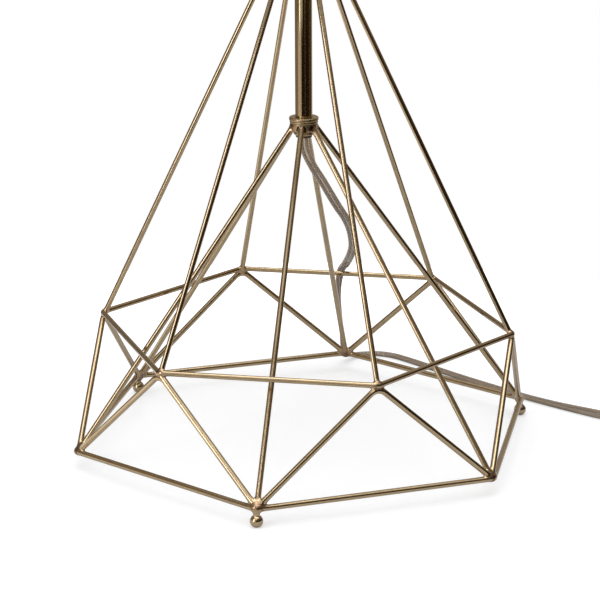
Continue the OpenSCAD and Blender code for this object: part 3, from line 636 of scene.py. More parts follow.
def clear_vinyl(context):
    """Extruded clear brown PVC: glossy, half clear, so the copper in it shows as darker lines."""
    base = context.scene.lamp_colours.vinyl
    return moulded("clear_brown_vinyl", base, 0.07, 6 * MM, IOR=1.53, Transmission_Weight=0.72)


def plug_vinyl(context):
    """The same PVC moulded thick, where it turns cloudy and darker."""
    base = dimmed(context.scene.lamp_colours.vinyl, 0.62)
    return moulded("cloudy_brown_vinyl", base, 0.3, 1.2 * MM, IOR=1.53, Transmission_Weight=0.15)


def stranded_copper(context):
    """Bare copper strands twisted into a core, which shows as fine slanting lines."""
    base = context.scene.lamp_colours.copper
    made, tree, shader = blank("stranded_copper", Metallic=1.0, Roughness=0.42)
    lay = add(tree, "TexWave", {"Vector": grain_of(tree), "Scale": 1 / (1.1 * MM), "Distortion": 0.6},
              bands_direction="DIAGONAL").outputs["Fac"]
    tone = mixed(tree, lay, base, dimmed(base, 0.85))
    return finished(made, tree, shader, lay, 0.04, 0.1 * MM, Base_Color=tone)


def coated_glass():
    """Soda-lime glass with a white silica coat inside: a milky body under a clear gloss."""
    made, tree, shader = blank("white_coated_glass", IOR=1.52, Coat_Weight=1.0, Coat_Roughness=0.03,
                               Transmission_Weight=0.22, Subsurface_Weight=0.15)
    coat = grains(tree, plain_of(tree), 9 * MM, 3.0)
    tone = mixed(tree, coat, linear("#F6F4EE"), linear("#E9E6DC"))
    gloss = ranged(tree, coat, 0.0, 1.0, 0.42, 0.58)
    return finished(made, tree, shader, Base_Color=tone, Roughness=gloss)


def linen_cloth(context):
    """Plain-woven linen, off-white: uneven threads with slubs, soft sheen, no gloss.
    Threads are 1.1 mm apart here, coarser than the real 0.5 mm, so that the weave shows."""
    thread, slub_length = 1.1 * MM, 60 * MM
    base = context.scene.lamp_colours.linen
    made, tree, shader = blank("off_white_linen", IOR=1.5, Roughness=0.85, Sheen_Weight=0.25,
                               Sheen_Roughness=0.45)
    cloth = grain_of(tree)
    parts = add(tree, "SeparateXYZ", {"Vector": cloth}).outputs
    drift = grains(tree, cloth, 7 * MM, 2.0)
    threads, slubs = [], []
    for over, along in (("X", "Y"), ("Y", "X")):
        turns = maths(tree, "MULTIPLY", parts[over], 2 * math.pi / thread)
        threads.append(maths(tree, "SINE", maths(tree, "MULTIPLY_ADD", drift, 2.5, turns)))
        line = maths(tree, "MULTIPLY", parts[over], 1 / thread)
        start = add(tree, "TexNoise", {"W": line, "Scale": 1.0, "Detail": 0.0}, noise_dimensions="1D")
        there = maths(tree, "MULTIPLY", parts[along], 1 / slub_length)
        begun = maths(tree, "MULTIPLY_ADD", start.outputs["Fac"], 9.0, there)
        spun = add(tree, "CombineXYZ", {"X": line, "Y": begun}).outputs[0]
        slubs.append(grains(tree, spun, 1.0, 2.0))
    weave, streaks = maths(tree, "MAXIMUM", *threads), maths(tree, "MAXIMUM", *slubs)
    spread = ranged(tree, streaks, 0.48, 0.74)
    tone = mixed(tree, spread, base, tuple(x * y for x, y in zip(base, (0.88, 0.86, 0.81))))
    height = maths(tree, "MULTIPLY_ADD", spread, 1.6, weave)
    return finished(made, tree, shader, height, 0.35, 0.12 * MM, Base_Color=tone)


# Cage


def corner(r, z, i):
    return polar(r, 2 * math.pi * i / SIDES, z)


def corner_cut(sizes):
    """How far inside its sharp corner a ring's bend stays."""
    return sizes.ring_bend * (1 / math.cos(math.pi / SIDES) - 1)


def cage(sizes):
    """Rods of the cage by name, and the corners where they are brazed with the names that meet there."""
    into_hub, below_hub, into_crown, below_crown = 1 * MM, 1 * MM, 2 * MM, 4 * MM
    below_waist = 1 * MM
    base_z, waist_z = middle("bottom_ring"), middle("mid_ring")
    cut = corner_cut(sizes)
    base = [corner(sizes.base_r, base_z, i) for i in range(SIDES)]
    waist = [corner(sizes.waist_r, waist_z, i + 0.5) for i in range(SIDES)]
    landing = [corner(sizes.base_r - sizes.landing_in, base_z, i) for i in range(SIDES)]
    bends = [sizes.ring_bend] * SIDES
    rods = {
        "bottom_ring": Rod(bent(base, bends, loop=True), sizes.base_wire, UP, loop=True),
        "mid_ring": Rod(bent(waist, bends, loop=True), sizes.cage_wire, UP, loop=True),
    }
    bend_top = waist_z - sizes.cage_wire / 2 - sizes.base_wire / 2 + sizes.weld_depth
    half_run = (sizes.base_r - sizes.landing_in) * math.sin(math.pi / SIDES)
    apex_z = bend_top
    for _ in range(2):
        tilt = math.atan2(half_run, apex_z - base_z)
        apex_z = bend_top + sizes.chevron_bend * (1 / math.sin(tilt) - 1)
    hub_r, crown_r = across("hub_ring", 0) / 2, across("crown_collar", 0) / 2
    for i in range(SIDES):
        apex = corner(sizes.waist_r - cut, apex_z, i + 0.5)
        ends = landing[i], landing[(i + 1) % SIDES]
        level = np.cross(apex - ends[0], apex - ends[1])
        line = bent([ends[0], apex, ends[1]], [sizes.chevron_bend])
        rods[f"chevron_{i + 1}"] = Rod(line, sizes.base_wire, level)
        head = corner(hub_r - into_hub, middle("hub_ring") - below_hub, i)
        rods[f"brace_{i + 1}"] = Rod([landing[i], head], sizes.brace_wire)
        foot = corner(sizes.waist_r - sizes.landing_in, waist_z, i + 0.5)
        head = corner(crown_r - into_crown, middle("crown_collar") - below_crown, i + 0.5)
        rods[f"cage_strut_{i + 1}"] = Rod([foot, head], sizes.cage_wire)
    joints = []
    for i in range(SIDES):
        leg, brace, strut = f"chevron_{i + 1}", f"brace_{i + 1}", f"cage_strut_{i + 1}"
        waist_joint = corner(sizes.waist_r - cut, waist_z - below_waist, i + 0.5)
        joints.append((landing[i], ["bottom_ring", brace, leg, f"chevron_{(i - 1) % SIDES + 1}"], []))
        joints.append((waist_joint, ["mid_ring", strut, leg], []))
        joints.append((rods[brace].line[-1], [brace], [drum_gap("hub_ring")]))
        joints.append((rods[strut].line[-1], [strut], [drum_gap("crown_collar")]))
    return rods, joints


class LAMP_OT_cage(bpy.types.Operator):
    """Bends the two rings and the chevrons, and brazes braces and struts to them"""

    bl_idname = "lamp.cage"
    bl_label = "Cage"

    UNEVEN = 0.22       # share by which a fillet may be larger or smaller
    WANDER = 2.4        # angle from one joint to the next in that

    def execute(self, context):
        sizes, finish = context.scene.lamp_sizes, plate(context)
        rods, joints = cage(sizes)
        for name, rod in rods.items():
            mine = []
            for k, (spot, names, drums) in enumerate(joints):
                if name in names:
                    skins = [rods[n].gap for n in names if n != name] + drums
                    fillet = sizes.fillet * (1 + self.UNEVEN * math.sin(self.WANDER * k))
                    mine.append((spot, skins, fillet))
            brazed_rod(name + "_brazed", rod, mine, finish, [name])
        return {"FINISHED"}


class LAMP_OT_feet(bpy.types.Operator):
    """Turns the three ball feet and brazes their necks to the bottom ring"""

    bl_idname = "lamp.feet"
    bl_label = "Ball feet"

    FLAT = 2 * MM           # radius of the flat that a ball stands on
    NECK = 2.3 * MM         # radius of the neck between ball and ring
    HOLLOW = 0.5 * MM       # how far outside the neck the ball ends
    STEP = 0.45 * MM        # between two points up the neck
    FACETS, BALL_STEPS = 40, 22

    def execute(self, context):
        sizes, finish = context.scene.lamp_sizes, plate(context)
        rods, joints = cage(sizes)
        ring_z = middle("bottom_ring")
        ball = across("foot_2", 1) / 2
        ball_z = math.sqrt(ball ** 2 - self.FLAT ** 2)
        profile, shoulder = self.profile(ball, ball_z, ring_z)
        for k in range(3):
            at = corner(sizes.base_r - corner_cut(sizes), 0, 2 * k)
            piece = turned(f"foot_{k + 1}_ball", profile, self.FACETS, loop=False, at=Matrix.Translation(at))
            points = np.array([v.co for v in piece.data.vertices])
            radial = points - at
            radial[:, 2] = 0
            wide = np.linalg.norm(radial, axis=1)
            above_ball, off_axis = points[:, 2] > shoulder + 0.3 * MM, wide > 0.5 * MM
            moved = above_ball & off_axis
            names = min(joints, key=lambda joint: np.linalg.norm(joint[0] - at))[1]
            stalk = Rod([at + ball_z * UP, at + ring_z * UP], 2 * self.NECK)
            out = radial[moved] / wide[moved][:, None]
            melt = np.zeros(len(points))
            points[moved], melt[moved] = brazed(points[moved], out, stalk.gap, [rods[n].gap for n in names],
                                                sizes.fillet)
            piece.data.vertices.foreach_set("co", points.ravel())
            # The neck's burnt film, browner toward the back as painted shade
            record_melt(piece.data, melt * burn_with_rear_shade(at))
            piece.data.update()
            dress(piece, finish, "plated_iron", f"foot_{k + 1}")
        return {"FINISHED"}

    def profile(self, ball, ball_z, ring_z):
        """Outline of a foot from its flat to the ring, and the height where the ball ends."""
        start, end = -math.acos(self.FLAT / ball), math.acos((self.NECK + self.HOLLOW) / ball)
        made = [(0, 0), (self.FLAT * 0.6, 0), *ball_arc(ball, ball_z, start, self.BALL_STEPS, end)]
        shoulder = made[-1][1]
        made.append((self.NECK + 0.15 * MM, shoulder + 0.35 * MM))
        made += ladder(self.NECK, shoulder + 0.8 * MM, ring_z, self.STEP)
        return made + [(0, ring_z)], shoulder


class LAMP_OT_hub(bpy.types.Operator):
    """Turns the hub's rings, the stem and the crown, and files the nut"""

    bl_idname = "lamp.hub"
    bl_label = "Hub, stem and crown"

    # How much softer than a turned edge the edges of each ring are
    RINGS = {"hub_ring": 1.6, "spacer_ring": 1.4, "stem_washer": 2.2, "crown_collar": 2.0, "seat_washer": 1.6}
    STEM_WALL = 0.9 * MM
    FACETS = 96

    def execute(self, context):
        edge, finish = context.scene.lamp_sizes.round_edge, hub_plate(context)
        bore = across("threaded_pipe", 0) / 2 + 0.1 * MM
        for node, soft in self.RINGS.items():
            low, high, r = round_size(node)
            outline = washer_outline(low, high, bore, r, edge * soft)
            dress(turned(node + "_turned", outline, self.FACETS), finish, "plated_iron", node)
        low, high, r = round_size("stem_tube")
        outline = washer_outline(low, high, r - self.STEM_WALL, r, edge)
        stem = turned("stem_tube_drawn", outline, self.FACETS, drawn=True)
        dress(stem, stem_plate(context), "stem_plate", "stem_tube")
        self.nut(finish, bore)
        repaint("threaded_pipe", zinc())
        repaint("cord_bushing", bushing_nylon())
        return {"FINISHED"}

    def nut(self, finish, bore):
        """Six-sided nut, chamfered below where it shows."""
        low, high = bottom("hub_nut"), top("hub_nut")
        half, rim = min(across("hub_nut", 0), across("hub_nut", 1)) / 2, bore + 0.4 * MM
        past_corners, end_face, square_above = 1.2 * half, 0.96 * half, 2.2 * MM

        def six_sided(r, z, a):
            if r <= rim:
                return r
            flat = half / math.cos((a + math.pi / 6) % (math.pi / 3) - math.pi / 6)
            chamfer = end_face + min(z - low, high - z + square_above)
            return min(r, flat, chamfer)

        outline = [(bore, low), (rim, low), *ladder(past_corners, low, high, 0.3 * MM), (rim, high),
                   (bore, high)]
        piece = turned("hub_nut_filed", outline, 2 * self.FACETS, six_sided)
        dress(piece, finish, "plated_iron", "hub_nut")


# Cord


EXIT_Z = bottom("cord_bushing")
# The free stretch's route: out of the bushing, over the waist ring, down and along the table
RUN = [
    (0, 0, EXIT_Z), (0.0004, -0.0001, 0.232), (0.002, -0.0003, 0.2255), (0.007, 0, 0.2156),
    (0.016, 0.0028, 0.202), (0.0235, 0.0072, 0.1905), (0.032, 0.0138, 0.1785), (0.041, 0.0225, 0.167),
    (0.0498, 0.0361, 0.154), (0.0573, 0.0517, 0.141), (0.0628, 0.0664, 0.1305), (0.0663, 0.0803, 0.121),
    (0.0692, 0.0942, 0.1124), (0.0717, 0.107, 0.105), (0.0738, 0.1182, 0.0999), (0.0747, 0.1273, 0.0928),
    (0.0755, 0.1335, 0.081), (0.077, 0.1382, 0.068), (0.0796, 0.1428, 0.055), (0.0828, 0.1483, 0.0415),
    (0.0863, 0.1554, 0.0285), (0.0908, 0.164, 0.0164), (0.0962, 0.1718, 0.008), (0.1046, 0.1782, 0.0034),
    (0.115, 0.181, 0.0019), (0.1256, 0.1788, 0.0018), (0.1342, 0.172, 0.0018), (0.1408, 0.162, 0.0018),
    (0.151, 0.139, 0.0018), (0.1715, 0.0905, 0.0018), (0.1955, 0.039, 0.0019), (0.2115, 0.009, 0.0022),
    (0.2255, -0.016, 0.003), (0.2365, -0.0355, 0.0038),
]
# Way in which the flat cord's width lies at each of those points
RUN_WIDE = [
    (1, -0.3, 0), (1, -0.3, 0), (1, -0.3, 0), (1, -0.3, 0.3), (1, -0.3, 0.5),
    (1, -0.3, 0.5), (1, -0.4, 0.4), (1, -0.6, 0.2), (1, -0.8, 0), (1, -0.8, 0),
    (1, -0.6, 0), (1, -0.4, 0), (1, -0.3, -0.2), (1, -0.2, -0.3), (1, -0.1, -0.3),
    (1, 0.1, -0.1), (0.9, 0.7, 0.2), (0.6, 1, 0.5), (0.4, 1, 0.5), (0.3, 1, 0.5),
    (0.1, 1, 0.5), (-0.3, 1, 0.3), (-0.6, 1, 0), (-0.4, 1, 0), (0, 1, 0),
    (0.4, 1, 0), (0.8, 0.9, 0), (0.9, 0.5, 0), (0.9, 0.45, 0), (0.9, 0.45, 0),
    (0.9, 0.5, 0.05), (0.9, 0.5, 0.2), (0.7, 0.4, 0.6), (0.2, 0.1, 1),
]
COIL_AT = np.array([285 * MM, -39 * MM, 0.0])
COIL_R = 40.5 * MM                 # of its outer turns
COIL_STEP = 4.4 * MM               # from one turn inward to the next
COIL_TURNS = 5
COIL_START = math.radians(-150)
COIL_LOW = 4.4 * MM                # height of the lower layer's centre line
COIL_LAYER = 7.4 * MM              # from there up to the upper layer's
COIL_CLIMB = 0.5                   # share of a turn in which the cord climbs between them
TAIL_WAY = polar(1, COIL_START + 2 * math.pi * COIL_TURNS + math.pi / 2, 0)
PLUG_FROM = 70 * MM                # along the tail, where it enters the plug
PLUG_Z = middle("plug_body")
# The tail's way from the coil down to the plug: how far along it, how high, and how much the cord's
# width stands up and lies flat
TAIL = (
    (0.015, 0.011, 1, 0), (0.025, 0.0086, 1, 0.3), (0.036, 0.006, 1, 1), (0.048, 0.0054, 0.6, 1),
    (0.060, 0.0072, 0.1, 1), (PLUG_FROM, PLUG_Z, 0, 1), (PLUG_FROM + 6 * MM, PLUG_Z, 0, 1),
)


def coil_point(u):
    """Point of the coil after u turns: inward on the lower layer, up, and outward on the upper one."""
    inward = COIL_STEP * min(u, COIL_TURNS - u)
    t = min(1, max(0, (u - COIL_TURNS / 2 + COIL_CLIMB / 2) / COIL_CLIMB))
    z = COIL_LOW + COIL_LAYER * t * t * (3 - 2 * t)
    return COIL_AT + polar(COIL_R - inward, COIL_START + 2 * math.pi * u, z)


def tail_point(s, z):
    p = coil_point(COIL_TURNS) + TAIL_WAY * s
    return np.array([p[0], p[1], z])


def curve(points, steps):
    """Smooth curve through points, with the same number of steps between each two."""
    p = np.array(points, float)
    p = np.vstack([2 * p[0] - p[1], p, 2 * p[-1] - p[-2]])
    made = []
    for i in range(1, len(p) - 2):
        a, b, c, d = p[i - 1:i + 3]
        for k in range(steps):
            t = k / steps
            made.append((2 * b + (c - a) * t + (2 * a - 5 * b + 4 * c - d) * t ** 2
                         + (3 * b - a - 3 * c + d) * t ** 3) / 2)
    return np.array([*made, p[-2]])


def cord_route(width):
    """The cord's whole centre line from the bushing to the plug, and the way its width lies."""
    run_steps, turn_steps, tail_steps = 6, 32, 5
    coil_in = coil_point(0) - polar(1, COIL_START + math.pi / 2, 0) * width
    coil_out = coil_point(COIL_TURNS) + TAIL_WAY * width
    turns = [coil_point(k / turn_steps) for k in range(turn_steps * COIL_TURNS + 1)]
    flat = np.cross(TAIL_WAY, UP)
    tail = curve([coil_out, *(tail_point(s, z) for s, z, _, _ in TAIL)], tail_steps)
    tail_wide = curve([UP, *(stands * UP + lies * flat for _, _, stands, lies in TAIL)], tail_steps)
    line = np.vstack([curve([*RUN, coil_in], run_steps), turns, tail])
    wide = np.vstack([curve([*RUN_WIDE, UP], run_steps), [UP] * len(turns), tail_wide])
    return line, wide


def tube_rings(line, wide, section):
    """Rings of a section's (x, y) points along a line, x lying along wide."""
    ahead = np.gradient(line, axis=0)
    ahead /= np.linalg.norm(ahead, axis=1)[:, None]
    made = []
    for p, h, w in zip(line, ahead, wide):
        w = unit(w - h * (w @ h))
        n = np.cross(h, w)
        made.append(p + np.outer(section[:, 0], w) + np.outer(section[:, 1], n))
    return made


def capped(rings):
    return [rings[0].mean(0)[None], *rings, rings[-1].mean(0)[None]]


class LAMP_OT_cord(bpy.types.Operator):
    """Lays the flat two-core cord from the bushing to its coil and plug"""

    bl_idname = "lamp.cord"
    bl_label = "Cord, plug and tie"

    LOBE = math.radians(296)        # how much of each half's circle is left where the two halves join
    LOBE_STEPS = 13
    CORE_SIDES = 10
    # Moulded plug's sections from the cord to its face, in millimetres: how far along, how wide, how thick
    PLUG = (
        (0.0, 8.6, 5.4), (0.8, 9.4, 6.2), (1.6, 9.4, 6.2), (2.2, 8.6, 5.6), (3.0, 9.8, 6.6),
        (3.8, 9.8, 6.6), (4.4, 9.0, 6.0), (5.2, 10.4, 7.2), (6.0, 10.6, 7.4), (6.8, 10.2, 7.4),
        (8.5, 13.0, 9.2), (11.0, 18.5, 12.6), (13.5, 23.2, 15.2), (15.0, 24.6, 15.9),
        (18.0, 24.4, 15.2), (22.0, 23.8, 14.2), (26.0, 24.4, 14.8), (29.0, 24.9, 15.9),
        (31.0, 24.9, 15.9), (31.7, 24.5, 15.5), (32.0, 23.6, 14.6),
    )
    PLUG_SIDES = 48
    TIE_HALF, TIE_T, TIE_BEND = 2.6 * MM, 0.55 * MM, 3.2 * MM   # half its width, thickness, corners

    def execute(self, context):
        sizes = context.scene.lamp_sizes
        line, wide = cord_route(sizes.cord_w)
        along = np.concatenate([[0], np.cumsum(np.linalg.norm(np.diff(line, axis=0), axis=1))])
        r = sizes.cord_t / 2
        apart = sizes.cord_w / 2 - r
        lobe = np.linspace(-self.LOBE / 2, self.LOBE / 2, self.LOBE_STEPS + 1)
        outer = [(apart + r * math.cos(t), r * math.sin(t)) for t in lobe]
        section = np.array(outer + [(-x, -y) for x, y in outer])
        core = circle(sizes.core_d / 2, whole_turn(self.CORE_SIDES), 0)[:, :2]
        points, faces, kinds, grain = [], [], [], []
        for kind, shape, side in ((0, section, 0), (1, core, apart), (1, core, -apart)):
            more, skins = skin(capped(tube_rings(line, wide, shape + (side, 0))))
            faces += [tuple(k + len(points) for k in f) for f in skins]
            kinds += [kind] * len(skins)
            points += list(more)
            turn = np.arctan2(shape[:, 1], shape[:, 0] - shape[:, 0].mean())
            rows = [np.stack([turn * r, np.full(len(shape), s), np.zeros(len(shape))], 1) for s in along]
            grain += [[[0, 0, 0]], *rows, [[0, along[-1], 0]]]
        cord = solid("cord", points, faces, np.vstack(grain))
        dress(cord, [clear_vinyl(context), stranded_copper(context)], "cord_vinyl",
              "cord_run", "cord_coil", "cord_tail")
        cord.data.polygons.foreach_set("material_index", kinds)
        plug = self.plug(context)
        tie = self.tie()
        repaint("stem_lead", clear_vinyl(context))
        repaint("plug_blades", nickel())
        return {"FINISHED"}

    def plug(self, context):
        """Moulded plug with a ribbed neck, a waist for the fingers and a flat face."""
        turn = whole_turn(self.PLUG_SIDES)
        rings = []
        for x, w, t in self.PLUG:
            squareness = 2 + 2.2 * min(1, x / 14)
            y = np.sign(np.cos(turn)) * np.abs(np.cos(turn)) ** (2 / squareness) * w / 2
            z = np.sign(np.sin(turn)) * np.abs(np.sin(turn)) ** (2 / squareness) * t / 2
            rings.append(np.stack([np.full(len(turn), x), y, z], 1) * MM)
        points, faces = skin(capped(rings))
        side = np.cross(UP, TAIL_WAY)
        points = tail_point(PLUG_FROM, PLUG_Z) + points @ np.stack([TAIL_WAY, side, UP])
        return dress(solid("plug", points, faces), plug_vinyl(context), "plug_vinyl", "plug_body")

    def tie(self):
        """Vinyl coated tie: a flat band round the coil's bundle."""
        low, high = span("coil_tie") - COIL_AT
        corners = [(low[0], low[2]), (high[0], low[2]), (high[0], high[2]), (low[0], high[2])]
        line = softened([(x, z, self.TIE_BEND) for x, z in corners], steps=8)
        half, t = self.TIE_HALF, self.TIE_T
        section = [(-half, -t), (half, -t), (half, 0), (half / 4, 0), (0, 0), (-half / 4, 0), (-half, 0)]
        rings = []
        for i, p in enumerate(line):
            ahead = unit(line[(i + 1) % len(line)] - line[i - 1])
            out = np.array([ahead[1], -ahead[0]])
            rings.append(np.array([(p[0] + out[0] * b, a, p[1] + out[1] * b) for a, b in section]))
        points, faces = skin(rings, loop=True)
        return dress(solid("coil_tie_band", COIL_AT + points, faces), tie_vinyl(), "tie_plastic", "coil_tie")


# Socket, bulb, harp and shade


BULB_PITCH = 3.6 * MM       # of the thread that the bulb screws into


def toward_the_front(y):
    """Where a piece turned about the switch's axis goes, from y toward the front."""
    return Matrix.Translation((0, y, middle("switch_knob"))) @ Matrix.Rotation(math.pi / 2, 4, "X")


class LAMP_OT_socket(bpy.types.Operator):
    """Draws the socket's cap and shell, rolls its screw shell and moulds the knob"""

    bl_idname = "lamp.socket"
    bl_label = "Socket and switch"

    FACETS = 96
    CAP_WALL, SHELL_WALL = 0.8 * MM, 0.6 * MM
    BORE, NECK = 5.2 * MM, 7.5 * MM     # radii of the cap's hole and of its neck
    PORT_R = 2.6 * MM                   # of the switch shaft's hole in the shell

    def execute(self, context):
        brass = sheet_brass(context)
        self.cap(brass)
        self.shell(brass)
        self.screw_shell(brass)
        self.knob(context)
        plain_brass = sheet_brass(context, own=False)
        for node in ("centre_contact", "terminal_screws", "switch_shaft"):
            repaint(node, plain_brass)
        repaint("socket_liner", fish_paper())
        repaint("socket_body", bakelite(context))
        return {"FINISHED"}

    def cap(self, brass):
        """Drawn cap: a neck that the pipe screws into, a bell and a beaded rim."""
        low, high, r = round_size("socket_cap")
        bore, neck, inside, skirt = self.BORE, self.NECK, r - self.CAP_WALL, r - 0.3 * MM
        outline = softened([
            (bore, low), (neck - 0.3 * MM, low, 0.3 * MM), (neck, low + 1.2 * MM, 0.4 * MM),
            (neck, low + 4.4 * MM, 1.2 * MM), (r - 5.5 * MM, low + 7.6 * MM, 2 * MM),
            (r - 1.6 * MM, low + 11.4 * MM, 2 * MM), (skirt, low + 14.5 * MM, 1 * MM),
            (skirt, low + 17.2 * MM, 0.6 * MM), (r, low + 18 * MM, 0.6 * MM), (r, low + 20.2 * MM, 0.6 * MM),
            (skirt, low + 21 * MM, 0.6 * MM), (skirt, high, 0.2 * MM), (inside, high, 0.2 * MM),
            (inside, low + 15.4 * MM, 1 * MM), (neck, low + 6.4 * MM, 0.6 * MM), (bore, low + 6.4 * MM)])
        dress(turned("socket_cap_drawn", outline, self.FACETS), brass, "polished_brass", "socket_cap")

    def screw_shell(self, brass):
        """Thin brass shell with the thread that takes the bulb."""
        low, high, r = round_size("screw_shell")
        depth, wall, step = 0.45 * MM, 0.05 * MM, BULB_PITCH / 10

        def rolled(radius, z, a):
            return threaded(radius, z, a, BULB_PITCH, depth)

        sleeve = [*ladder(r, low, high, step), *reversed(ladder(r - wall, low, high, step))]
        piece = turned("screw_shell_rolled", sleeve, shape=rolled)
        dress(piece, brass, "polished_brass", "screw_shell")

    def shell(self, brass):
        """Drawn shell with a groove, a curled rim and a drilled port for the switch shaft."""
        low, high, r = round_size("socket_shell")
        inside, groove = r - self.SHELL_WALL, r - 0.45 * MM
        outline = softened([
            (inside, low), (r, low, 0.2 * MM), (r, low + 30 * MM, 1 * MM),
            (groove, low + 31.2 * MM, 0.8 * MM), (groove, low + 33 * MM, 0.8 * MM),
            (r, low + 34.2 * MM, 1 * MM), (r, high - 2.2 * MM, 0.5 * MM),
            (r - 0.25 * MM, high - 1 * MM, 0.4 * MM), (r - 0.05 * MM, high, 0.3 * MM),
            (inside, high, 0.2 * MM)])
        piece = turned("socket_shell_drawn", outline, self.FACETS)
        rod = [(0, 0), (self.PORT_R, 0), (self.PORT_R, 40 * MM), (0, 40 * MM)]
        drill = turned("drill", rod, sides=32, loop=False, at=toward_the_front(0))
        cut = piece.modifiers.new("port", "BOOLEAN")
        cut.operation = "DIFFERENCE"
        cut.object = drill
        cut.solver = "EXACT"
        bpy.context.view_layer.objects.active = piece
        bpy.ops.object.modifier_apply(modifier="port")
        bpy.data.objects.remove(drill)
        piece.data.set_sharp_from_angle(angle=math.radians(35))
        dress(piece, brass, "polished_brass", "socket_shell")

    def knob(self, context):
        """Moulded knob with a slim neck and a fluted grip."""
        r, long = across("switch_knob", 2) / 2, across("switch_knob", 1)
        hole, neck, flutes, depth = 1.62 * MM, 0.62 * r, 12, 0.55 * MM
        outline = softened([
            (hole, 0), (neck, 0, 0.3 * MM), (neck, 2.4 * MM, 0.5 * MM), (r, 3.2 * MM, 0.5 * MM),
            (r, long - 1.6 * MM, 0.8 * MM), (r - 1.4 * MM, long, 0.6 * MM), (0, long)], loop=False, steps=5)
        close = [a + (b - a) * k / 4 for a, b in zip(outline, outline[1:]) for k in range(4)] + [outline[-1]]

        def fluted(radius, z, a):
            if radius < 0.8 * r or z < 3 * MM:
                return radius
            return radius - depth * (0.5 + 0.5 * math.cos(flutes * a)) ** 3

        at = toward_the_front(float(span("switch_knob")[1][1]))
        piece = turned("switch_knob_moulded", close, sides=12 * flutes, shape=fluted, loop=False, at=at)
        dress(piece, bakelite(context), "phenolic", "switch_knob", body="switch")


class LAMP_OT_bulb(bpy.types.Operator):
    """Blows the bulb's glass and rolls its screw cap"""

    bl_idname = "lamp.bulb"
    bl_label = "Bulb"

    BALL_FROM = math.radians(-38)       # height angle where the ball begins, below its widest line
    BALL_STEPS, SWELL_STEPS = 30, 16
    SWELL = 0.42                        # how far the swell's ends keep straight on, of its whole length

    def execute(self, context):
        self.glass()
        self.cap()
        repaint("bulb_contact", zinc())
        return {"FINISHED"}

    def glass(self):
        """Neck and ball with a smooth swell between them."""
        low, high, r = round_size("bulb_glass")
        neck, centre = across("bulb_cap", 0) / 2 - 0.7 * MM, high - r
        ball = ball_arc(r, centre, self.BALL_FROM, self.BALL_STEPS)[:-1]
        start, end = np.array([neck, low + 3 * MM]), np.array(ball[0])
        reach = np.linalg.norm(end - start) * self.SWELL
        a = start + (0, reach)
        b = end - reach * np.array([-math.sin(self.BALL_FROM), math.cos(self.BALL_FROM)])
        swell = [(1 - t) ** 3 * start + 3 * t * (1 - t) ** 2 * a + 3 * t * t * (1 - t) * b + t ** 3 * end
                 for t in [k / self.SWELL_STEPS for k in range(self.SWELL_STEPS)]]
        profile = [(0, low), (neck, low), *swell, *ball, (0, high)]
        piece = turned("bulb_glass_blown", profile, sides=80, loop=False)
        dress(piece, coated_glass(), "frosted_glass", "bulb_glass", body="bulb")

    def cap(self):
        """Screw cap with its rolled thread and a plain rim under the glass."""
        low, high, r = round_size("bulb_cap")
        depth, hole, wall = 0.55 * MM, r - 4 * MM, 0.5 * MM

        def rolled(radius, z, a):
            plain = radius < r - 0.4 * MM or z > high - 3 * MM
            return radius if plain else threaded(radius, z, a, BULB_PITCH, depth)

        outline = [(hole, low + 0.6 * MM), (hole, low), (r - 0.8 * MM, low + 1.4 * MM),
                   *ladder(r, low + 2 * MM, high, BULB_PITCH / 10), (r - wall, high),
                   (r - wall, high - 1 * MM), (r - 1.6 * MM, low + 3 * MM)]
        piece = turned("bulb_cap_rolled", outline, sides=72, shape=rolled)
        dress(piece, rolled_aluminium(), "bulb_aluminium", "bulb_cap", body="bulb")


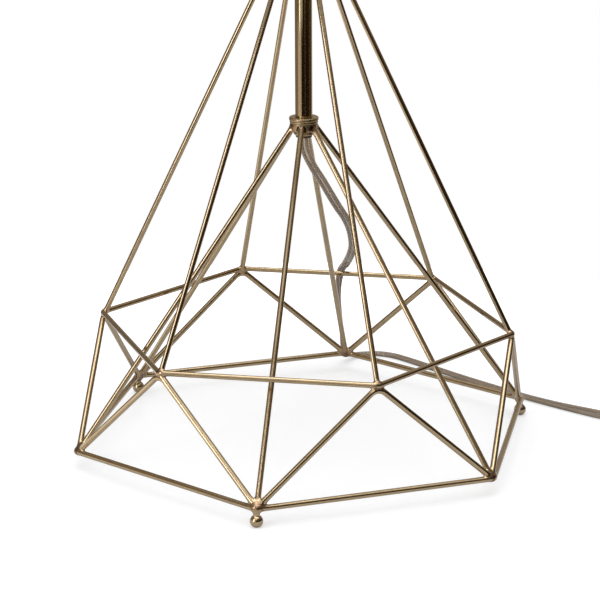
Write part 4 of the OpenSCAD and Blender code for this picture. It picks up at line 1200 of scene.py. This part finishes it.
class LAMP_OT_harp(bpy.types.Operator):
    """Bends the saddle and the harp, and turns its sleeves, stud and the finial"""

    bl_idname = "lamp.harp"
    bl_label = "Harp and finial"

    WIRE = 3.5 * MM
    SHOULDER, WIDEST, PEAK = 28 * MM, 78 * MM, 200 * MM     # heights of the harp's bends above its feet
    SHOULDER_BEND, WIDEST_BEND = 25 * MM, 45 * MM
    CROWN = 7.7 * MM                    # by how much the top's bends are tighter than half a circle
    STRIP, STRIP_WIDE, TONGUE_WIDE = 1.6 * MM, 12 * MM, 3.1 * MM
    TONGUE, TAPER = 8 * MM, 4 * MM      # length of the saddle's tongues, and of the taper under them
    STUD_PITCH, STUD_R, STUD_PAD = 0.94 * MM, 3.1 * MM, 1.2 * MM
    FINIAL_BALL, FINIAL_BORE = 7.5 * MM, 3.15 * MM
    FINIAL_FROM, FINIAL_STEPS = math.radians(-64), 26

    def execute(self, context):
        self.saddle(context)
        self.wire()
        self.stud(context)
        for k in (1, 2):
            self.sleeve(context, f"harp_sleeve_{k}", f"sleeve_{k}")
        self.finial(context)
        return {"FINISHED"}

    def wire(self):
        """Spring wire up both sides and round the top, where the stud's pad is brazed to it."""
        low, high = span("harp_loop")
        half, foot, leg = float(high[0]) - self.WIRE / 2, float(low[2]), middle("harp_sleeve_1", 0)
        peak = foot + self.PEAK
        side = [(leg, foot), (leg, foot + self.SHOULDER), (half, foot + self.WIDEST), (half, peak)]
        points = [np.array([x, 0, z]) for x, z in side] + [np.array([-x, 0, z]) for x, z in reversed(side)]
        bends = [self.SHOULDER_BEND, self.WIDEST_BEND, half - self.CROWN]
        rod = Rod(bent(points, bends + bends[::-1]), self.WIRE, REARWARD)
        rod.COARSE = 4                      # its bends show
        pad = (np.array([0, 0, peak]), [drum_gap("harp_stud")], 0.4 * MM)
        piece = brazed_rod("harp_loop_bent", rod, [pad], washed_steel(), ["harp_loop"])

    def saddle(self, context):
        """Bent steel strip whose arms narrow to the tongues that the sleeves slip over."""
        low, high = span("harp_saddle")
        t, arm = self.STRIP, float(high[2]) - self.TONGUE
        half, base = float(high[0]) - t / 2, float(low[2]) + t / 2
        ends = [np.array([s * half, 0, float(high[2])]) for s in (-1, 1)]
        foot = [np.array([s * half, 0, base]) for s in (-1, 1)]
        rod = Rod(bent([ends[0], *foot, ends[1]], [2.6 * MM] * 2), t, REARWARD)
        rod.REACH = 400 * MM                # all of it
        spots, headings, _ = rod.stations([foot[0]])
        rings = []
        for p, h in list(zip(spots, headings))[::2]:
            blend = min(1, max(0, (p[2] - (arm - self.TAPER)) / self.TAPER))
            narrowing = (self.STRIP_WIDE - self.TONGUE_WIDE) * (1 - math.sqrt(max(0, 1 - blend ** 2)))
            x, y = (self.STRIP_WIDE - narrowing) / 2, t / 2
            shape = softened([(a, b, 0.4 * MM) for a, b in ((-x, -y), (x, -y), (x, y), (-x, y))], steps=2)
            out = np.cross(h, REARWARD)
            rings.append(np.array([p + out * b + REARWARD * a for a, b in shape]))
        points, faces = skin(capped(rings))
        dress(solid("harp_saddle_bent", points, faces), plate(context), "plated_iron", "harp_saddle")

    def stud(self, context):
        """Pad under the wire's top, and the threaded stud that the shade and the finial go on."""
        low, high, r = round_size("harp_stud")
        pitch, thread_r, depth, seat = self.STUD_PITCH, self.STUD_R, 0.42 * MM, low + self.STUD_PAD

        def cut(radius, z, a):
            plain = z < seat + 0.5 * MM or radius < thread_r - 0.05 * MM
            return radius if plain else threaded(radius, z, a, pitch, depth)

        outline = [(0, low), *softened([(r, low, 0.2 * MM), (r, seat, 0.2 * MM)], loop=False),
                   (thread_r, seat),
                   *ladder(thread_r, seat + 0.1 * MM, high - 0.6 * MM, pitch / 6),
                   (thread_r - 0.6 * MM, high), (0, high)]
        piece = turned("harp_stud_cut", outline, sides=48, shape=cut, loop=False)
        dress(piece, sheet_brass(context), "polished_brass", "harp_stud")

    def sleeve(self, context, node, body):
        """Sleeve with a rim at its foot, narrowed at its top to the wire."""
        low, high, r = round_size(node)
        bore, barrel = self.WIRE / 2 + 0.05 * MM, r - 0.35 * MM
        outline = softened([
            (bore, low), (r - 0.3 * MM, low, 0.2 * MM), (r, low + 0.8 * MM, 0.3 * MM),
            (r, low + 2 * MM, 0.3 * MM), (barrel, low + 2.8 * MM, 0.4 * MM),
            (barrel, high - 4 * MM, 0.8 * MM), (bore + 0.5 * MM, high, 0.2 * MM), (bore, high)])
        piece = turned(node + "_turned", outline, sides=48, at=Matrix.Translation((middle(node, 0), 0, 0)))
        dress(piece, sheet_brass(context), "polished_brass", node, body=body)

    def finial(self, context):
        """Ball finial on a stepped base, with a blind hole for the stud."""
        low, high = bottom("finial"), top("finial")
        ball, bore = self.FINIAL_BALL, self.FINIAL_BORE
        z = high - ball
        hole = [(0, low + 13.6 * MM), (bore, low + 13 * MM)]
        base = softened([(bore, low), (7 * MM, low, 0.5 * MM), (7 * MM, low + 3.4 * MM, 1.2 * MM),
                         (5.6 * MM, low + 4.6 * MM, 0.8 * MM), (4.2 * MM, low + 5.6 * MM, 1 * MM),
                         (3.2 * MM, z - ball + 1.6 * MM)], loop=False)
        outline = [*hole, *base, *ball_arc(ball, z, self.FINIAL_FROM, self.FINIAL_STEPS)[:-1], (0, high)]
        piece = turned("finial_turned", outline, sides=72, loop=False)
        dress(piece, plate(context), "plated_iron", "finial", body="finial")


def up_and_down(heights, outer, inner):
    """Outline of (height, depth) up a drum's outside and down its inside."""
    return [(z, outer) for z in heights] + [(z, inner) for z in reversed(heights)]


class LAMP_OT_shade(bpy.types.Operator):
    """Rolls the linen drum, binds its edges and finishes its wire frame"""

    bl_idname = "lamp.shade"
    bl_label = "Shade"

    AROUND = 288                                        # points round the drum
    SEAM = math.radians(75)                             # where the lapped seam is, from the right
    UPPER_R = 178 * MM
    LAP, LAP_STEPS, LAP_LIFT = 12 * MM, 3, 0.25 * MM    # how long the seam's lap is, and how proud it lies
    # Outer and inner depth of the linen, the lining and a binding under the shade's outside
    LINEN, LINING, BAND_DEPTH = (0.3 * MM, 0.6 * MM), (0.62 * MM, 1.0 * MM), 1.35 * MM
    INSET = 0.3 * MM                                    # of linen and lining at the shade's edges
    HEIGHT_STEPS = 12
    # Up a binding: share of its height, and how far its folded edge is rounded off there
    BAND = (
        (0, 0.22 * MM), (0.02, 0.08 * MM), (0.06, 0), (0.3, 0),
        (0.7, 0), (0.94, 0), (0.98, 0.08 * MM), (1, 0.22 * MM),
    )

    def execute(self, context):
        low, high, hem = bottom("shade_shell"), top("shade_shell"), context.scene.lamp_sizes.hem
        linen = linen_cloth(context)
        heights = np.linspace(low + self.INSET, high - self.INSET, self.HEIGHT_STEPS + 1)
        cover = self.drum("shade_linen", up_and_down(heights, *self.LINEN), self.LAP_LIFT)
        lining = self.drum("shade_lining", up_and_down(heights, *self.LINING))
        for name, start in (("lower", low), ("upper", high - hem)):
            steps = [(start + hem * share, edge) for share, edge in self.BAND]
            folded = steps + [(z, self.BAND_DEPTH - edge) for z, edge in reversed(steps)]
            dress(self.drum(f"shade_binding_{name}", folded), linen, "linen", body="shade")
        dress(cover, linen, "linen", "shade_shell", body="shade")
        dress(lining, styrene(), "linen", "shade_shell", body="shade")
        for node in ("shade_top_frame", "shade_bottom_ring"):
            repaint(node, washed_steel(own=False))
        return {"FINISHED"}

    def radius(self, z):
        low, high, wide = round_size("shade_shell")
        return wide + (self.UPPER_R - wide) * (z - low) / (high - low)

    def drum(self, name, outline, lift=0.0):
        """Closed shell round the shade, whose first depth may lie proud at the lapped seam."""
        around = whole_turn(self.AROUND)
        lap = np.where(np.arange(self.AROUND) < self.LAP_STEPS, lift, 0.0)
        rings, grain = [], []
        for z, depth in outline:
            r = self.radius(z) - depth + (lap if depth == outline[0][1] else 0)
            rings.append(circle(r, self.SEAM + around, z))
            level = np.full(self.AROUND, z)
            grain.append(np.stack([around * self.radius(z), level, np.zeros(self.AROUND)], 1))
        points, faces = skin(rings, loop=True)
        return solid(name, points, faces, np.concatenate(grain))


# Stage


def direction(azimuth, height):
    """Direction from the lamp, with azimuth 0 toward the front and height 0 level."""
    return polar(math.cos(height), azimuth - math.pi / 2, math.sin(height))


class LAMP_OT_stage(bpy.types.Operator):
    """Sets the camera, the paper floor, the soft lamps and the cards that the metal mirrors"""

    bl_idname = "lamp.stage"
    bl_label = "Camera, floor and light"

    PAPER_R, PAPER_SIDES, PAPER_GREY = 0.5, 96, 0.6
    # Where the paper is lifted to plain white: from this radius to its rim, and by how much at the start
    LIFT_FROM, LIFT_LEAST = 0.2, 0.45
    WORLD = 0.76                # how bright the world is for all but what is seen, mirrored or looked through
    COOL = (0.97, 1.0, 1.07)    # colour of the lamps
    LIT = Vector((0, 0, 0.25))  # what they point at
    # Name, azimuth from the camera and height angle in degrees, distance, width, height and power of each
    LAMPS = (
        ("key", -47, 13, 1.4, 0.34, 1.05, 5.0),
        ("strip", -6, 35, 1.4, 0.16, 0.36, 0.8),
        ("top", 0, 86, 1.6, 1.3, 1.3, 12.0),
    )
    # Name, first and last azimuth from the camera in degrees, radius and height of the lower edge and of
    # the upper edge, and colour of each card
    CARDS = (
        ("card_dark", -12, 118, (1.5, 0.05), (1.5, 0.75), (0.030, 0.021, 0.015)),
        ("card_dusk", -12, 118, (1.5, 0.75), (1.5, 1.9), (0.20, 0.17, 0.14)),
        ("card_left", -118, -64, (1.5, 0.05), (1.5, 1.9), (0.25, 0.21, 0.175)),
        ("card_pale", -64, -12, (1.5, 0.05), (1.5, 1.9), (0.61, 0.60, 0.58)),
        ("card_low_dark", -31, 75, (1.5, -0.9), (1.5, 0.05), (0.018, 0.012, 0.009)),
        ("card_low_brown", 75, 118, (1.5, -0.9), (1.5, 0.05), (0.055, 0.034, 0.025)),
        ("card_low_left", -118, -80, (1.5, -0.9), (1.5, 0.05), (0.30, 0.26, 0.23)),
        ("card_low_pale", -80, -31, (1.5, -0.9), (1.5, 0.05), (0.74, 0.66, 0.62)),
        ("card_rear_right", 118, 185, (1.5, -0.3), (1.5, 1.9), (0.36, 0.315, 0.255)),
        ("card_rear_left", 185, 242, (1.5, -0.3), (1.5, 1.9), (0.21, 0.18, 0.145)),
        ("foam_board", -120, -50, (0.23, 0.002), (0.6, 0.02), (1.15, 1.12, 1.05)),
    )

    def execute(self, context):
        self.camera(context)
        self.floor()
        self.world(context)
        for lamp in self.LAMPS:
            self.lamp(context, *lamp)
        for card in self.CARDS:
            self.card(context, *card)
        return {"FINISHED"}

    def camera(self, context):
        view = context.scene.lamp_view
        back = direction(view.azimuth, view.elevation)
        level = polar(1, view.azimuth, 0)
        upright = np.cross(back, level)
        right = math.cos(view.roll) * level + math.sin(view.roll) * upright
        up = math.cos(view.roll) * upright - math.sin(view.roll) * level
        data = bpy.data.cameras.new("camera")
        data.lens = view.lens
        data.sensor_width = 36
        data.shift_x = view.shift_x
        data.shift_y = view.shift_y
        data.clip_end = 60
        made = bpy.data.objects.new("camera", data)
        made.matrix_world = Matrix(np.stack([right, up, back], 1)).to_4x4()
        made.location = view.target * UP + view.distance * back
        context.scene.collection.objects.link(made)
        context.scene.camera = made

    def floor(self):
        """Disc of white paper, whose lit colour is lifted to plain white away from the lamp's shadow."""
        rim = circle(self.PAPER_R, whole_turn(self.PAPER_SIDES), 0)
        piece = solid("floor", rim, [tuple(range(self.PAPER_SIDES))])
        grey = opaque([self.PAPER_GREY] * 3)
        made, tree, shader = blank("white_paper", Roughness=0.9, IOR=1.3, Base_Color=grey)
        away = add(tree, "VectorMath", {0: plain_of(tree)}, operation="LENGTH").outputs["Value"]
        lift = ranged(tree, away, self.LIFT_FROM, self.PAPER_R, self.LIFT_LEAST, 1.0)
        seen = maths(tree, "MULTIPLY", add(tree, "LightPath").outputs["Is Camera Ray"], lift)
        white = add(tree, "Emission", {"Strength": seen})
        both = add(tree, "AddShader", {0: shader.outputs[0], 1: white.outputs[0]})
        tree.links.new(both.outputs[0], tree.nodes["Material Output"].inputs["Surface"])
        piece.data.materials.append(made)

    def world(self, context):
        """White behind the lamp and in its metal and glass, a little less bright for everything else."""
        world = bpy.data.worlds.new("studio")
        context.scene.world = world
        world.use_nodes = True
        tree = world.node_tree
        ray = add(tree, "LightPath").outputs
        seen = maths(tree, "MAXIMUM", ray["Is Camera Ray"], ray["Is Glossy Ray"])
        shown = maths(tree, "MAXIMUM", seen, ray["Is Transmission Ray"])
        level = ranged(tree, shown, 0.0, 1.0, self.WORLD, 1.0)
        tree.links.new(level, tree.nodes["Background"].inputs["Strength"])
        tree.nodes["Background"].inputs["Color"].default_value = (1, 1, 1, 1)

    def lamp(self, context, name, azimuth, height, distance, wide, tall, power):
        data = bpy.data.lights.new(name, "AREA")
        data.shape = "RECTANGLE"
        data.size, data.size_y = wide, tall
        data.energy = power
        data.color = self.COOL
        made = bpy.data.objects.new(name, data)
        way = Vector(direction(context.scene.lamp_view.azimuth + math.radians(azimuth), math.radians(height)))
        made.location = self.LIT + way * distance
        made.rotation_euler = (-way).to_track_quat("-Z", "Y").to_euler()
        made.visible_camera = False
        context.scene.collection.objects.link(made)

    def card(self, context, name, start, end, lower, upper, shade):
        """Piece of the room round the set, which only the metal mirrors: a surface that glows with its
        colour, dark or pale, as the light and shade that the metal reflects.
        """
        first, steps = context.scene.lamp_view.azimuth - math.pi / 2, 24
        turns = [first + math.radians(start + (end - start) * k / steps) for k in range(steps + 1)]
        points = [polar(r, a, z) for r, z in (lower, upper) for a in turns]
        piece = solid(name, points, [(k, k + 1, k + steps + 2, k + steps + 1) for k in range(steps)])
        made, tree, _ = blank(name)
        glow = add(tree, "Emission", {"Color": opaque(shade)})
        tree.links.new(glow.outputs[0], tree.nodes["Material Output"].inputs["Surface"])
        piece.data.materials.append(made)
        for ray in ("camera", "shadow", "diffuse", "transmission"):
            setattr(piece, "visible_" + ray, False)


STEPS = (
    LAMP_OT_stage, LAMP_OT_cord, LAMP_OT_cage, LAMP_OT_feet, LAMP_OT_hub,
    LAMP_OT_socket, LAMP_OT_bulb, LAMP_OT_harp, LAMP_OT_shade,
)


class LAMP_PT_build(bpy.types.Panel):
    """Lists the steps that dress the lamp"""

    bl_label = "Wire cage lamp"
    bl_space_type = "VIEW_3D"
    bl_region_type = "UI"
    bl_category = "Lamp"

    def draw(self, context):
        for step in STEPS:
            self.layout.operator(step.bl_idname, text=step.bl_label)
        scene = context.scene
        for group in (scene.lamp_sizes, scene.lamp_colours, scene.lamp_view):
            for name in group.__annotations__:
                self.layout.prop(group, name)


CLASSES = (LampSizes, LampColours, LampView, *STEPS, LAMP_PT_build)


def register():
    for kind in CLASSES:
        bpy.utils.register_class(kind)
    bpy.types.Scene.lamp_sizes = PointerProperty(type=LampSizes)
    bpy.types.Scene.lamp_colours = PointerProperty(type=LampColours)
    bpy.types.Scene.lamp_view = PointerProperty(type=LampView)


def unregister():
    del bpy.types.Scene.lamp_view
    del bpy.types.Scene.lamp_colours
    del bpy.types.Scene.lamp_sizes
    for kind in reversed(CLASSES):
        bpy.utils.unregister_class(kind)


def main():
    register()
    bpy.context.scene.view_settings.view_transform = "Standard"
    for step in STEPS:
        group, name = step.bl_idname.split(".")
        getattr(getattr(bpy.ops, group), name)()


if __name__ == "__main__":
    main()
